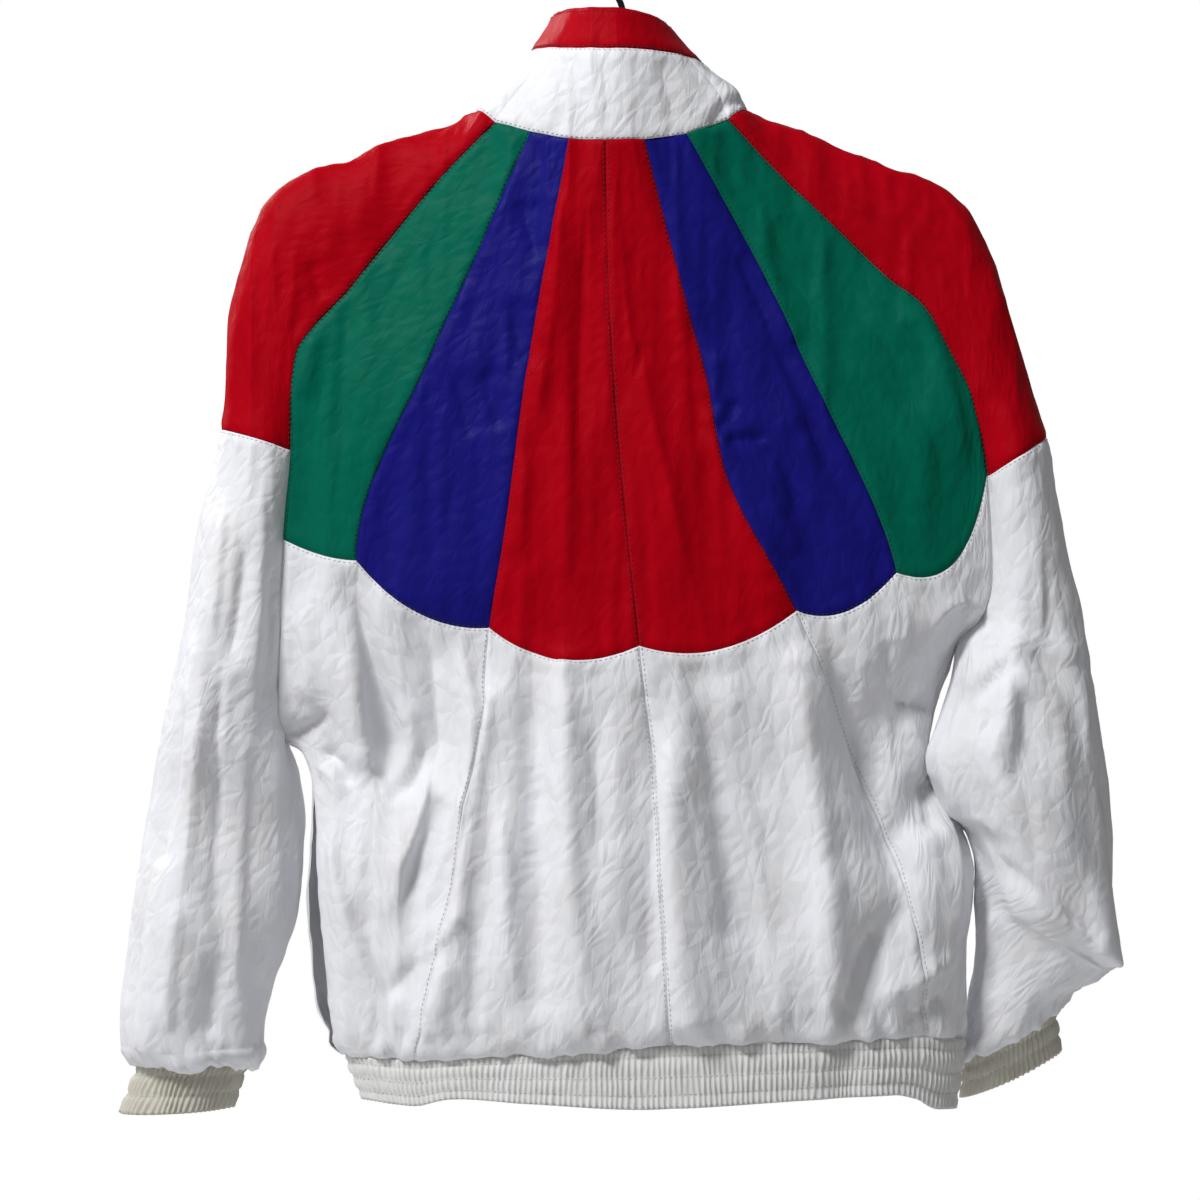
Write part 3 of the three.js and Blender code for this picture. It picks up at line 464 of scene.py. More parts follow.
# Creases of the hidden front: start, middle and end as x and down, then width and rise, all in mm
FRONT_CREASES = strokes("""
60 215 50 300 42 400 9 2.5
90 260 86 330 70 420 7 -2.5
120 300 118 380 104 470 8 3
150 330 150 400 140 480 6 -2.5
190 400 186 470 176 560 9 3
30 420 26 520 22 650 6 -3
56 450 54 560 48 700 8 3.5
88 480 90 580 84 715 6 -3.5
118 520 120 620 116 725 8 3.5
146 560 152 640 150 728 6 -4
176 560 174 620 168 700 9 3
-50 215 -58 300 -62 410 9 2.5
-86 250 -96 340 -104 440 7 -2.5
-120 290 -134 380 -140 470 8 3
-170 330 -182 400 -186 460 6 -3
-40 430 -46 540 -52 680 8 3
-72 470 -82 580 -86 715 6 -3.5
-104 500 -118 610 -124 722 8 3.5
-140 540 -152 630 -160 715 6 -4
-176 560 -190 640 -196 710 8 3.5
250 340 258 430 268 520 8 -3
276 420 286 540 296 650 7 3
248 560 262 640 280 730 7 -3.5
232 480 240 580 250 690 8 3
300 600 310 670 312 735 5 3
-252 330 -266 430 -276 520 8 -3
-286 410 -298 520 -304 600 7 3
-240 560 -272 600 -318 650 6 -4
-238 600 -280 640 -322 676 6 3.5
-240 650 -266 690 -280 716 6 -3.5
""")
CREASE_SHARPNESS = 1.35
STEEP_SIDE, SOFT_SIDE = 0.75, 1.8
CREASE_RISE = 1.5
CREASE_PARTS = 6

# Irregular ripples: size across and along in millimetres, how far they rise, and the seed of their pattern
CRINKLES = [
    {"across": 30, "along": 130, "rise": 4.2, "seed": 5},
    {"across": 14, "along": 75, "rise": 2.2, "seed": 3},
    {"across": 8, "along": 26, "rise": 0.8, "seed": 7},
    {"across": 16, "along": 15, "rise": 0.6, "seed": 9},
]
CRINKLE_LEVEL = 0.3
GATHER_RISE = 2.6
PUCKER_RISE, PUCKER_REACH = 0.75, 34


def lerp(a, b, t):
    return a + (b - a) * t


def ease(t):
    t = np.clip(t, 0, 1)
    return t * t * (3 - 2 * t)


def unit(vectors):
    return vectors / np.maximum(np.linalg.norm(vectors, axis=-1, keepdims=True), 1e-9)


def run_lengths(line):
    """How far each point of a line is from its first point, along the line."""
    return np.concatenate([[0], np.cumsum(np.linalg.norm(np.diff(line, axis=0), axis=1))])


def read_along(values, lengths, at):
    """Points or normals given at lengths along a line, read at other lengths of it."""
    return np.stack([np.interp(at, lengths, values[:, k]) for k in range(3)], -1)


def read(columns, name, row):
    """One column of a section table at any row, on a curve with no overshoot between its rows."""
    at_rows, values = columns[name].T
    slopes = np.diff(values) / np.diff(at_rows)
    before, after = slopes[:-1], slopes[1:]
    turning = before * after > 0
    middle = np.where(turning, 2 * before * after / np.where(turning, before + after, 1), 0)
    tangents = np.concatenate([slopes[:1], middle, slopes[-1:]])
    at = np.clip(row, at_rows[0], at_rows[-1])
    k = np.clip(np.searchsorted(at_rows, at) - 1, 0, len(at_rows) - 2)
    span = np.diff(at_rows)[k]
    t = (at - at_rows[k]) / span
    rise = values[k + 1] - values[k]
    start, end = tangents[k] * span, tangents[k + 1] * span
    return values[k] + t * (start + t * (3 * rise - 2 * start - end + t * (start + end - 2 * rise)))


def swell(share, row):
    """How far the cloth stands out between its side, share 0, and its middle, share 1."""
    roundness = lerp(1, 0.55, ease((row - 14) / 3))
    return np.clip(1 - (1 - share) ** 2, 0, 1) ** roundness


def back_fold(x, down):
    lift = np.zeros_like(x)
    for x_top, top, x_foot, foot, width, rise in BACK_FOLDS:
        dx, dz = x_foot - x_top, foot - top
        along = np.clip(((x - x_top) * dx + (down - top) * dz) / (dx * dx + dz * dz), 0, 1)
        away = np.hypot(x - x_top - along * dx, down - top - along * dz) / width
        lift += rise * np.exp(-(away**2))
    return lift


def sleeve_fold(side, share, row):
    lift = np.zeros_like(share)
    for share_top, top, share_foot, foot, width, rise in SLEEVE_FOLDS[side]:
        along = np.clip((row - top) / (foot - top), 0, 1)
        across = (share - lerp(share_top, share_foot, along)) / width
        past = np.maximum(0, np.maximum(top - row, row - foot))
        lift += rise * np.exp(-(across**2) - past**2)
    return lift * ease(share * 8) * ease((1 - share) * 8) * ease((SLEEVE_END - row) / 2)


def back_point(place, row):
    """A point of the back: place 0 is the left side or armhole, 3 the middle seam, 6 the right side."""
    line = np.clip(np.floor(place), 0, 5).astype(int)
    share = place - line
    xs = np.stack([read(columns, "x", row) for columns in BACK_LINES])
    downs = np.stack([read(columns, "down", row) for columns in BACK_LINES])

    def at(values, k):
        return np.take_along_axis(values, k[None], 0)[0]

    bowing = 4 * share * (1 - share) * (1 - ease(np.abs(row - YOKE) / 3))
    x = lerp(at(xs, line), at(xs, line + 1), share) + YOKE_BOWS[line, 0] * bowing
    down = lerp(at(downs, line), at(downs, line + 1), share) + YOKE_BOWS[line, 1] * bowing
    left = place < 3
    edge = np.where(left, xs[0], xs[6])
    across = np.clip((x - edge) / (xs[3] - edge), 0, 1)
    side_back = np.where(left, read(SIDE_LEFT, "back", row), read(SIDE_RIGHT, "back", row))
    back = lerp(side_back, read(CENTRE, "back", row), swell(across, row))
    return np.stack([x, back + back_fold(x, down) * ease(across * 4), -down], -1)


def side_point(side, row, face):
    """The seam that a side's sleeve and front share down to the underarm, and the side seam below it."""
    behind = SIDE_LEFT if side == "left" else SIDE_RIGHT
    ahead = FRONT_SIDES[side]
    in_front = (face == "front") & (row < UNDERARM)

    def value(name):
        return np.where(in_front, read(ahead, name, row), read(behind, name, row))

    return np.stack([value("x"), value("back"), -value("down")], -1)


def front_point(side, share, row):
    """A point of the front: share 0 is the zip's middle line, 1 the side or armhole seam."""
    edge = side_point(side, row, "front")
    if side == "left":
        edge[..., 0] += read(MOUTH, "out", row)
        edge[..., 1] -= read(MOUTH, "ahead", row)
    scoop = lerp(share, 1 - swell(1 - share, 0), 1 - ease(row / 6))
    x = lerp(read(ZIP_LINE, "x", row), edge[..., 0], share)
    y = lerp(edge[..., 1], read(ZIP_LINE, "back", row), swell(1 - share, row))
    return np.stack([x, y, lerp(-read(ZIP_LINE, "down", row), edge[..., 2], scoop)], -1)


def sleeve_ring(side, share, row):
    """A point of a sleeve's own section, an oval left open toward the body above the underarm."""
    columns = SLEEVES[side]
    outer = np.stack([read(columns, "x_out", row), -read(columns, "down_out", row)], -1)
    inner = np.stack([read(columns, "x_in", row), -read(columns, "down_in", row)], -1)
    middle, reach = (outer + inner) / 2, (outer - inner) / 2
    opening = np.where(row >= UNDERARM, 0, read(columns, "open", row))
    angle = np.radians(lerp(180 - opening, opening - 180, share))
    fold = sleeve_fold(side, share, row)
    length = np.linalg.norm(reach, axis=-1)
    place = middle + reach * (np.cos(angle) * (1 + fold / length))[..., None]
    slimness = np.where(np.cos(angle) < 0, INNER_EDGE, 1)
    swelling = np.sign(np.sin(angle)) * np.abs(np.sin(angle)) ** slimness
    y = read(columns, "back", row) + (read(columns, "half", row) + fold) * swelling
    return np.stack([place[..., 0], y, place[..., 1]], -1)


def sleeve_point(side, share, row):
    """A point of a sleeve, share 0 on its seam with the back and share 1 on its seam with the front."""
    point = sleeve_ring(side, share, row)
    hold = 1 - ease((row - UNDERARM) / 2)
    seam_row = np.minimum(row, UNDERARM)
    for part, face in ((0.0, "back"), (1.0, "front")):
        near = 1 - share if part == 0 else share
        weight = hold * ease((near - 0.45) / 0.55)
        seam = side_point(side, seam_row, face)
        point += (seam - sleeve_ring(side, np.full_like(share, part), seam_row)) * weight[..., None]
    return point


def collar_point(neck, row):
    """A point of the collar over one point of the neck seam."""
    base = {name: values[0, 1] for name, values in COLLAR.items()}
    half_x, half_y = (base["left"] - base["right"]) / 2, (base["back"] - base["front"]) / 2
    sideways = (neck[..., 0] - base["left"] + half_x) / half_x
    backward = (neck[..., 1] - base["back"] + half_y) / half_y
    angle = np.arctan2(backward, sideways)
    cos, sin = np.cos(angle), np.sin(angle)

    def ring(at):
        side = np.where(cos > 0, at["down_left"], at["down_right"])
        end = np.where(sin > 0, at["down_back"], at["down_front"])
        x = lerp(at["right"], at["left"], (1 + cos) / 2)
        y = lerp(at["front"], at["back"], (1 + sin) / 2)
        return np.stack([x, y, -(cos**2 * side + sin**2 * end)], -1)

    at_row = {name: read(COLLAR, name, row) for name in COLLAR if name != "row"}
    hold = 1 - ease(row / COLLAR_SEAM)
    return ring(at_row) + (neck - ring(base)) * np.asarray(hold)[..., None]


def cuff_point(side, share, row):
    columns = CUFFS[side]
    edge = sleeve_point(side, share, np.full_like(share, SLEEVE_END))
    angle = np.radians(lerp(180, -180, share))
    part = (1 + np.cos(angle)) / 2

    def ring(at):
        x = lerp(read(columns, "x_in", at), read(columns, "x_out", at), part)
        down = lerp(read(columns, "down_in", at), read(columns, "down_out", at), part)
        y = read(columns, "back", at) + read(columns, "half", at) * np.sin(angle)
        return np.stack([x, y, -down], -1)

    return edge + ring(row) - ring(np.zeros_like(row))


def band_point(edge, part):
    """A point of the hem band below one point of the cloth's foot, part 0 at its top and 1 at its foot."""
    sideways = BAND_SIDEWAYS * (edge[..., 0] - BAND_MIDDLE)
    outward = unit(np.stack([sideways, edge[..., 1], np.zeros_like(sideways)], -1))
    drop = read(BAND_FOOT, "height", edge[..., 0]) * part
    draw = read(BAND_FOOT, "draw", edge[..., 0]) * part
    fall = np.stack([draw, np.zeros_like(drop), -drop], -1)
    return edge + outward * read(BAND_FLARE, "flare", part)[..., None] + fall


def spread(length, step=STEP):
    """Shares from 0 to 1 about a step apart, closer together at both ends for the seam's relief."""
    count = max(2, round((length - 6) / step))
    inner = np.linspace(3, length - 3, count + 1)
    return np.concatenate([[0, 0.8, 1.7], inner, [length - 1.7, length - 0.8, length]]) / length


def rows_between(top, foot, length):
    return top + (foot - top) * spread(length)


ROWS_TO_RED = rows_between(0, 9, 292)
ROWS_TO_YOKE = rows_between(9, 10, 33)
ROWS_TO_HEM = rows_between(10, 22, 262)
ROWS_TO_CUFF = rows_between(22, 24, 24)
BODY_ROWS = np.unique(np.concatenate([ROWS_TO_RED, ROWS_TO_YOKE, ROWS_TO_HEM]).round(6))
SLEEVE_ROWS = np.unique(np.concatenate([BODY_ROWS, ROWS_TO_CUFF]).round(6))
PANEL_WIDTHS = [62, 87, 100, 104, 76, 66]
SIDE_TURN = 1.5  # columns crowd together where a panel turns at the side


def between(rows, top, foot):
    return rows[(rows > top - 1e-5) & (rows < foot + 1e-5)]


def back_places(start, end):
    places = []
    for line in range(start, end):
        shares = spread(PANEL_WIDTHS[line])
        if line == 0:
            shares = shares**SIDE_TURN
        if line == 5:
            shares = 1 - (1 - shares) ** SIDE_TURN
        places.append(line + shares)
    return np.unique(np.concatenate(places).round(6))


def grid_of(rows, places, point_at):
    row, place = np.meshgrid(rows, places, indexing="ij")
    return point_at(place, row)


def tape_share(side, row):
    return TAPE / np.abs(side_point(side, row, "front")[..., 0] - read(ZIP_LINE, "x", row))


FRONT_SHARES = 1 - (1 - spread(225)) ** SIDE_TURN
ARM_SHARES = spread(300)
TAPE_SHARES = np.array([0, 0.15, 0.4, 0.7, 1])


def arm_shares(side):
    return ARM_SHARES[::-1] if side == "left" else ARM_SHARES


def front_grid(side, rows):
    shares = FRONT_SHARES if side == "left" else FRONT_SHARES[::-1]
    row, share = np.meshgrid(rows, shares, indexing="ij")
    return front_point(side, lerp(tape_share(side, row), 1, share), row)


def tape_grid(side, rows):
    shares = TAPE_SHARES if side == "left" else TAPE_SHARES[::-1]
    row, share = np.meshgrid(rows, shares, indexing="ij")
    return front_point(side, share * tape_share(side, row), row)


def arm_grid(side, rows):
    return grid_of(rows, arm_shares(side), lambda share, row: sleeve_point(side, share, row))


def joined(*grids):
    return np.concatenate([grids[0]] + [grid[:, 1:] for grid in grids[1:]], axis=1)


NECK = np.array([0.0])
neck_seam = joined(
    front_grid("left", NECK),
    arm_grid("left", NECK),
    grid_of(NECK, back_places(0, 6), back_point),
    arm_grid("right", NECK),
    front_grid("right", NECK),
)[0]
FOOT = np.array([float(HEM)])
hem_edge = joined(
    front_grid("left", FOOT), grid_of(FOOT, back_places(0, 6), back_point), front_grid("right", FOOT)
)[0]


def collar_grid(neck, low, high, length):
    rows = low + (high - low) * spread(length)
    return np.stack([collar_point(neck, row) for row in rows[::-1]])


def tape_strip(side):
    neck = tape_grid(side, NECK)[0]
    over = collar_grid(neck, 0, 3, 88)
    body = tape_grid(side, BODY_ROWS[1:])
    parts = spread(40)[1:]
    foot = np.stack([band_point(body[-1], np.full(len(body[-1]), part)) for part in parts])
    return np.concatenate([over, body, foot])


def resampled(edge, step):
    """A line of points as the same line with points about a step apart."""
    lengths = run_lengths(edge)
    at = np.linspace(0, lengths[-1], round(lengths[-1] / step) + 1)
    return read_along(edge, lengths, at)


# Noise
LATTICE = 48


def noise(points, seed):
    """Smooth noise from -1 to 1 at points given in cells."""
    values = np.random.default_rng(seed).random((LATTICE,) * 3)
    cell = np.floor(points).astype(int)
    t = points - cell
    t = t * t * (3 - 2 * t)
    total = 0
    for corner in product((0, 1), repeat=3):
        weight = np.prod(np.where(corner, t, 1 - t), axis=-1)
        at = (cell + corner) % LATTICE
        total = total + weight * values[at[..., 0], at[..., 1], at[..., 2]]
    return 2 * total - 1


def ripples(points, across, along, seed):
    """Noise whose ripples are as wide and as long down the cloth as stated, in millimetres."""
    return noise(points / np.array([across, across, along]), seed)


# Creases
def stroke_points(stroke):
    """Points along the curve through a stroke's start, middle and end."""
    start, middle, end = (np.array(stroke[k : k + 2], float) for k in (0, 2, 4))
    t = np.linspace(0, 1, CREASE_PARTS + 1)[:, None]
    handle = 2 * middle - (start + end) / 2
    return (1 - t) ** 2 * start + 2 * t * (1 - t) * handle + t**2 * end


def crease_lift(places, creased, scale):
    """How far the creases lift each place of a flat view, whose millimetre is scale long."""
    lift = np.zeros(places.shape[:-1])
    for stroke in creased:
        width, rise = stroke[6] * scale, stroke[7]
        line = stroke_points(stroke)
        low, high = line.min(0) - 3 * width, line.max(0) + 3 * width
        inside = np.all((places > low) & (places < high), axis=-1)
        if not inside.any():
            continue
        spots = places[inside]
        best, best_t = np.full(len(spots), np.inf), np.zeros(len(spots))
        right = np.zeros(len(spots), bool)
        for k in range(CREASE_PARTS):
            step = line[k + 1] - line[k]
            t = np.clip(((spots - line[k]) @ step) / (step @ step), 0, 1)
            offset = spots - line[k] - t[:, None] * step
            away = np.linalg.norm(offset, axis=1)
            closer = away < best
            best[closer] = away[closer]
            right[closer] = offset[closer, 0] > 0
            best_t[closer] = (k + t[closer]) / CREASE_PARTS
        fade = ease(np.minimum(best_t, 1 - best_t) * 4 + 0.15)
        steep = right == (rise > 0)
        spread_out = width * np.where(steep, STEEP_SIDE, SOFT_SIDE)
        lift[inside] += rise * fade * np.exp(-((best / spread_out) ** CREASE_SHARPNESS))
    return lift


def seen_from_behind(points):
    """Where the photograph shows each point, in its pixels."""
    nearer = PHOTO["away"] / (PHOTO["away"] - points[..., 1])
    across = (points[..., 0] - PHOTO["x"]) * nearer
    up = (points[..., 2] + PHOTO["down"]) * nearer
    return PHOTO["middle"] - np.stack([across, up], -1) * PHOTO["pixels"]


def creases(points, normals):
    behind = ease((normals[..., 1] + 0.1) / 0.5)
    ahead = ease((-normals[..., 1] + 0.1) / 0.5)
    flat = np.stack([points[..., 0], -points[..., 2]], -1)
    lift = behind * crease_lift(seen_from_behind(points), BACK_CREASES, PHOTO["pixels"])
    return CREASE_RISE * (lift + ahead * crease_lift(flat, FRONT_CREASES, 1))


def crinkle(points):
    """Facets that meet at sharp ridges, longer than they are wide."""
    lift = 0
    for size in CRINKLES:
        wave = ripples(points, size["across"], size["along"], size["seed"])
        lift = lift + size["rise"] * (CRINKLE_LEVEL - abs(wave))
    return lift


def gathers(points, reach):
    """Small upright folds, full where reach is 1 and none where it is 0."""
    wave = ripples(points, 6.5, 60, seed=11) + 0.5 * ripples(points, 3.6, 40, seed=13)
    return GATHER_RISE * wave * ease(reach)


class Piece:
    """One cut piece of cloth: a grid of points from the top down, turning left about the jacket's hollow."""

    def __init__(self, name, colour, grid, relief=1.0):
        self.name, self.colour, self.grid, self.relief = name, colour, grid, relief
        self.lift = np.zeros(grid.shape[:2])

    def own_normals(self):
        falling = self.grid[1:, 1:] - self.grid[:-1, :-1]
        rising = self.grid[:-1, 1:] - self.grid[1:, :-1]
        facing = unit(np.cross(falling, rising))
        total = np.zeros_like(self.grid)
        for i, j in product((slice(None, -1), slice(1, None)), repeat=2):
            total[i, j] += facing
        return unit(total)

    def lengths(self):
        """How far each point is from the first column and from the first row, along the cloth."""
        sideways = np.diff(self.grid, axis=1, prepend=self.grid[:, :1])
        downward = np.diff(self.grid, axis=0, prepend=self.grid[:1])
        across = np.cumsum(np.linalg.norm(sideways, axis=-1), axis=1)
        return across, np.cumsum(np.linalg.norm(downward, axis=-1), axis=0)

    def edge_distance(self):
        across, along = self.lengths()
        return np.minimum.reduce([across, across[:, -1:] - across, along, along[-1:] - along])


def share_normals(pieces):
    """Pieces that meet at a seam get one normal there, so that their faces meet too."""
    normals = [piece.own_normals() for piece in pieces]
    flat = np.concatenate([piece.grid.reshape(-1, 3) for piece in pieces])
    facing = np.concatenate([normal.reshape(-1, 3) for normal in normals])
    _, group = np.unique((flat * 20).round().astype(int), axis=0, return_inverse=True)
    group = group.reshape(-1)
    total = np.zeros((group.max() + 1, 3))
    np.add.at(total, group, facing)
    shared = unit(total)[group]
    start = 0
    for piece in pieces:
        count = piece.grid.shape[0] * piece.grid.shape[1]
        piece.normals = shared[start : start + count].reshape(piece.grid.shape)
        start += count


SEAM = {"groove": 0.7, "narrow": 1.4, "puff": 0.45, "at": 5.5, "wide": 3.5}
SEAM_PUCKER = {"rise": 0.55, "reach": 11, "pitch": 8, "seed": 17}


def seam_relief(piece):
    """The groove at a piece's edges, and the puffs and puckers beside it."""
    away = piece.edge_distance()
    groove = -SEAM["groove"] * np.exp(-((away / SEAM["narrow"]) ** 2))
    puff = SEAM["puff"] * np.exp(-(((away - SEAM["at"]) / SEAM["wide"]) ** 2))
    beside = ease(away / 2) * (1 - ease(away / SEAM_PUCKER["reach"]))
    wave = noise(piece.grid / SEAM_PUCKER["pitch"], SEAM_PUCKER["seed"])
    return piece.relief * (groove + puff + SEAM_PUCKER["rise"] * wave * beside)


def mesh_object(name, vertices, faces, smooth, uv, material):
    mesh = bpy.data.meshes.new(name)
    mesh.from_pydata((np.asarray(vertices) * MM).tolist(), [], faces)
    mesh.polygons.foreach_set("use_smooth", smooth)
    if uv is not None:
        layer = mesh.uv_layers.new(name="cloth")
        corners = np.zeros(len(mesh.loops), dtype=np.int32)
        mesh.loops.foreach_get("vertex_index", corners)
        layer.data.foreach_set("uv", (np.asarray(uv) * MM)[corners].astype(np.float32).ravel())
    mesh.materials.append(material)
    obj = bpy.data.objects.new(name, mesh)
    bpy.context.scene.collection.objects.link(obj)
    return obj


def shell(name, outer, inner, lengths, material):
    """A closed shell between two grids, with flat rims."""
    rows, columns = outer.shape[:2]
    index = np.arange(rows * columns).reshape(rows, columns)
    back = index + rows * columns
    front_faces = np.stack([index[:-1, :-1], index[1:, :-1], index[1:, 1:], index[:-1, 1:]], -1)
    back_faces = np.stack([back[:-1, :-1], back[:-1, 1:], back[1:, 1:], back[1:, :-1]], -1)
    front_faces, back_faces = front_faces.reshape(-1, 4), back_faces.reshape(-1, 4)
    loop = np.concatenate([index[0, :-1], index[:-1, -1], index[-1, :0:-1], index[:0:-1, 0]])
    following = np.roll(loop, -1)
    rim = np.stack([loop, following, following + rows * columns, loop + rows * columns], -1)
    faces = np.concatenate([front_faces, back_faces, rim])
    smooth = np.concatenate([np.ones(2 * len(front_faces), bool), np.zeros(len(rim), bool)])
    vertices = np.concatenate([outer.reshape(-1, 3), inner.reshape(-1, 3)])
    centre = lengths[0][:, [columns // 2]]
    uv = np.stack([lengths[0] - centre + centre.mean(), lengths[1]], -1).reshape(-1, 2)
    return mesh_object(name, vertices, faces.tolist(), smooth, np.concatenate([uv, uv]), material)


# Materials
def linear(red, green, blue):
    """A screen colour of 0 to 255 as the linear colour a shader takes."""
    shares = [value / 255 for value in (red, green, blue)]
    return tuple(s / 12.92 if s <= 0.04045 else ((s + 0.055) / 1.055) ** 2.4 for s in shares) + (1.0,)


def new_material(name):
    material = bpy.data.materials.new(name)
    material.use_nodes = True
    return material, material.node_tree.nodes, material.node_tree.links


def textured(nodes, links, source, scale, kind="ShaderNodeTexNoise", **settings):
    mapping = nodes.new("ShaderNodeMapping")
    mapping.inputs["Scale"].default_value = scale
    links.new(source, mapping.inputs["Vector"])
    texture = nodes.new(kind)
    links.new(mapping.outputs["Vector"], texture.inputs["Vector"])
    texture.inputs["Scale"].default_value = 1
    for key, value in settings.items():
        texture.inputs[key].default_value = value
    return texture


def bump(nodes, links, height, distance, strength, under=None):
    node = nodes.new("ShaderNodeBump")
    node.inputs["Distance"].default_value = distance
    node.inputs["Strength"].default_value = strength
    links.new(height, node.inputs["Height"])
    if under is not None:
        links.new(under.outputs["Normal"], node.inputs["Normal"])
    return node


# Crumple of the cloth's face: scale across and along, turn in degrees, height in metres and strength
CRUMPLES = [
    {"scale": (40, 22, 1), "turn": 14, "height": 0.0024, "strength": 0.7},
    {"scale": (110, 62, 1), "turn": -28, "height": 0.0012, "strength": 0.8},
]


def crumpled(nodes, links, uv, scale, turn):
    """Flat facets between sharp ridges, set askew by a soft noise."""
    turned = nodes.new("ShaderNodeMapping")
    turned.inputs["Rotation"].default_value = (0, 0, math.radians(turn))
    links.new(uv, turned.inputs["Vector"])
    uv = turned.outputs["Vector"]
    drift = textured(nodes, links, uv, tuple(0.6 * part for part in scale), Detail=1.0)
    add = nodes.new("ShaderNodeVectorMath")
    add.operation = "MULTIPLY_ADD"
    add.inputs[1].default_value = (1.1 / scale[0], 1.1 / scale[1], 0)
    links.new(drift.outputs["Color"], add.inputs[0])
    links.new(uv, add.inputs[2])
    facets = textured(nodes, links, add.outputs["Vector"], scale, kind="ShaderNodeTexVoronoi")
    facets.voronoi_dimensions = "2D"
    facets.feature = "DISTANCE_TO_EDGE"
    return facets.outputs["Distance"]


FINE_CREASES = {"scale": (420, 34, 1), "height": 0.0004, "strength": 0.6}
WEAVE = {"scale": (2300, 2300, 1), "height": 0.00004, "strength": 0.35}
ROUGHNESS_SPREAD = 0.07


def nylon(name, colour, shade, roughness, streaks, crush=1.0, gloss=0.22):
    """Thin woven nylon: crushed along the cloth into fine creases, with a plain weave and a soft sheen."""
    material, nodes, links = new_material(name)
    shader = nodes["Principled BSDF"]
    place = nodes.new("ShaderNodeUVMap")
    place.uv_map = "cloth"
    uv = place.outputs["UV"]
    scale = FINE_CREASES["scale"]
    creased = textured(nodes, links, uv, scale, Detail=3.0, Roughness=0.5, Distortion=0.25)
    creased.noise_type = "RIDGED_MULTIFRACTAL"
    weave = textured(nodes, links, uv, WEAVE["scale"], kind="ShaderNodeTexChecker")
    blotch = textured(nodes, links, uv, streaks, Detail=4.0, Roughness=0.65)
    mix = nodes.new("ShaderNodeMix")
    mix.data_type = "RGBA"
    mix.inputs["A"].default_value = colour
    mix.inputs["B"].default_value = shade
    links.new(blotch.outputs["Fac"], mix.inputs["Factor"])
    links.new(mix.outputs["Result"], shader.inputs["Base Color"])
    grain = nodes.new("ShaderNodeMapRange")
    grain.inputs["To Min"].default_value = roughness - ROUGHNESS_SPREAD
    grain.inputs["To Max"].default_value = roughness + ROUGHNESS_SPREAD
    links.new(creased.outputs["Fac"], grain.inputs["Value"])
    links.new(grain.outputs["Result"], shader.inputs["Roughness"])
    surface = None
    for layer in CRUMPLES:
        height = crumpled(nodes, links, uv, layer["scale"], layer["turn"])
        surface = bump(nodes, links, height, layer["height"] * crush, layer["strength"], surface)
    height, strength = FINE_CREASES["height"] * crush, FINE_CREASES["strength"]
    surface = bump(nodes, links, creased.outputs["Fac"], height, strength, surface)
    surface = bump(nodes, links, weave.outputs["Fac"], WEAVE["height"], WEAVE["strength"], surface)
    links.new(surface.outputs["Normal"], shader.inputs["Normal"])
    shader.inputs["IOR"].default_value = 1.4
    shader.inputs["Specular IOR Level"].default_value = gloss
    return material


def hard(name, colour, roughness, metallic, grain):
    """Moulded plastic, painted wire or brushed metal, with a fine grain."""
    material, nodes, links = new_material(name)
    shader = nodes["Principled BSDF"]
    place = nodes.new("ShaderNodeTexCoord").outputs["Object"]
    fine = textured(nodes, links, place, grain, Detail=3.0)
    shade = nodes.new("ShaderNodeMix")
    shade.data_type = "RGBA"
    shade.inputs["A"].default_value = colour
    shade.inputs["B"].default_value = tuple(0.72 * part for part in colour[:3]) + (1.0,)
    links.new(fine.outputs["Fac"], shade.inputs["Factor"])
    links.new(shade.outputs["Result"], shader.inputs["Base Color"])
    surface = bump(nodes, links, fine.outputs["Fac"], 0.0002, 0.3)
    links.new(surface.outputs["Normal"], shader.inputs["Normal"])
    shader.inputs["Roughness"].default_value = roughness
    shader.inputs["Metallic"].default_value = metallic
    return material


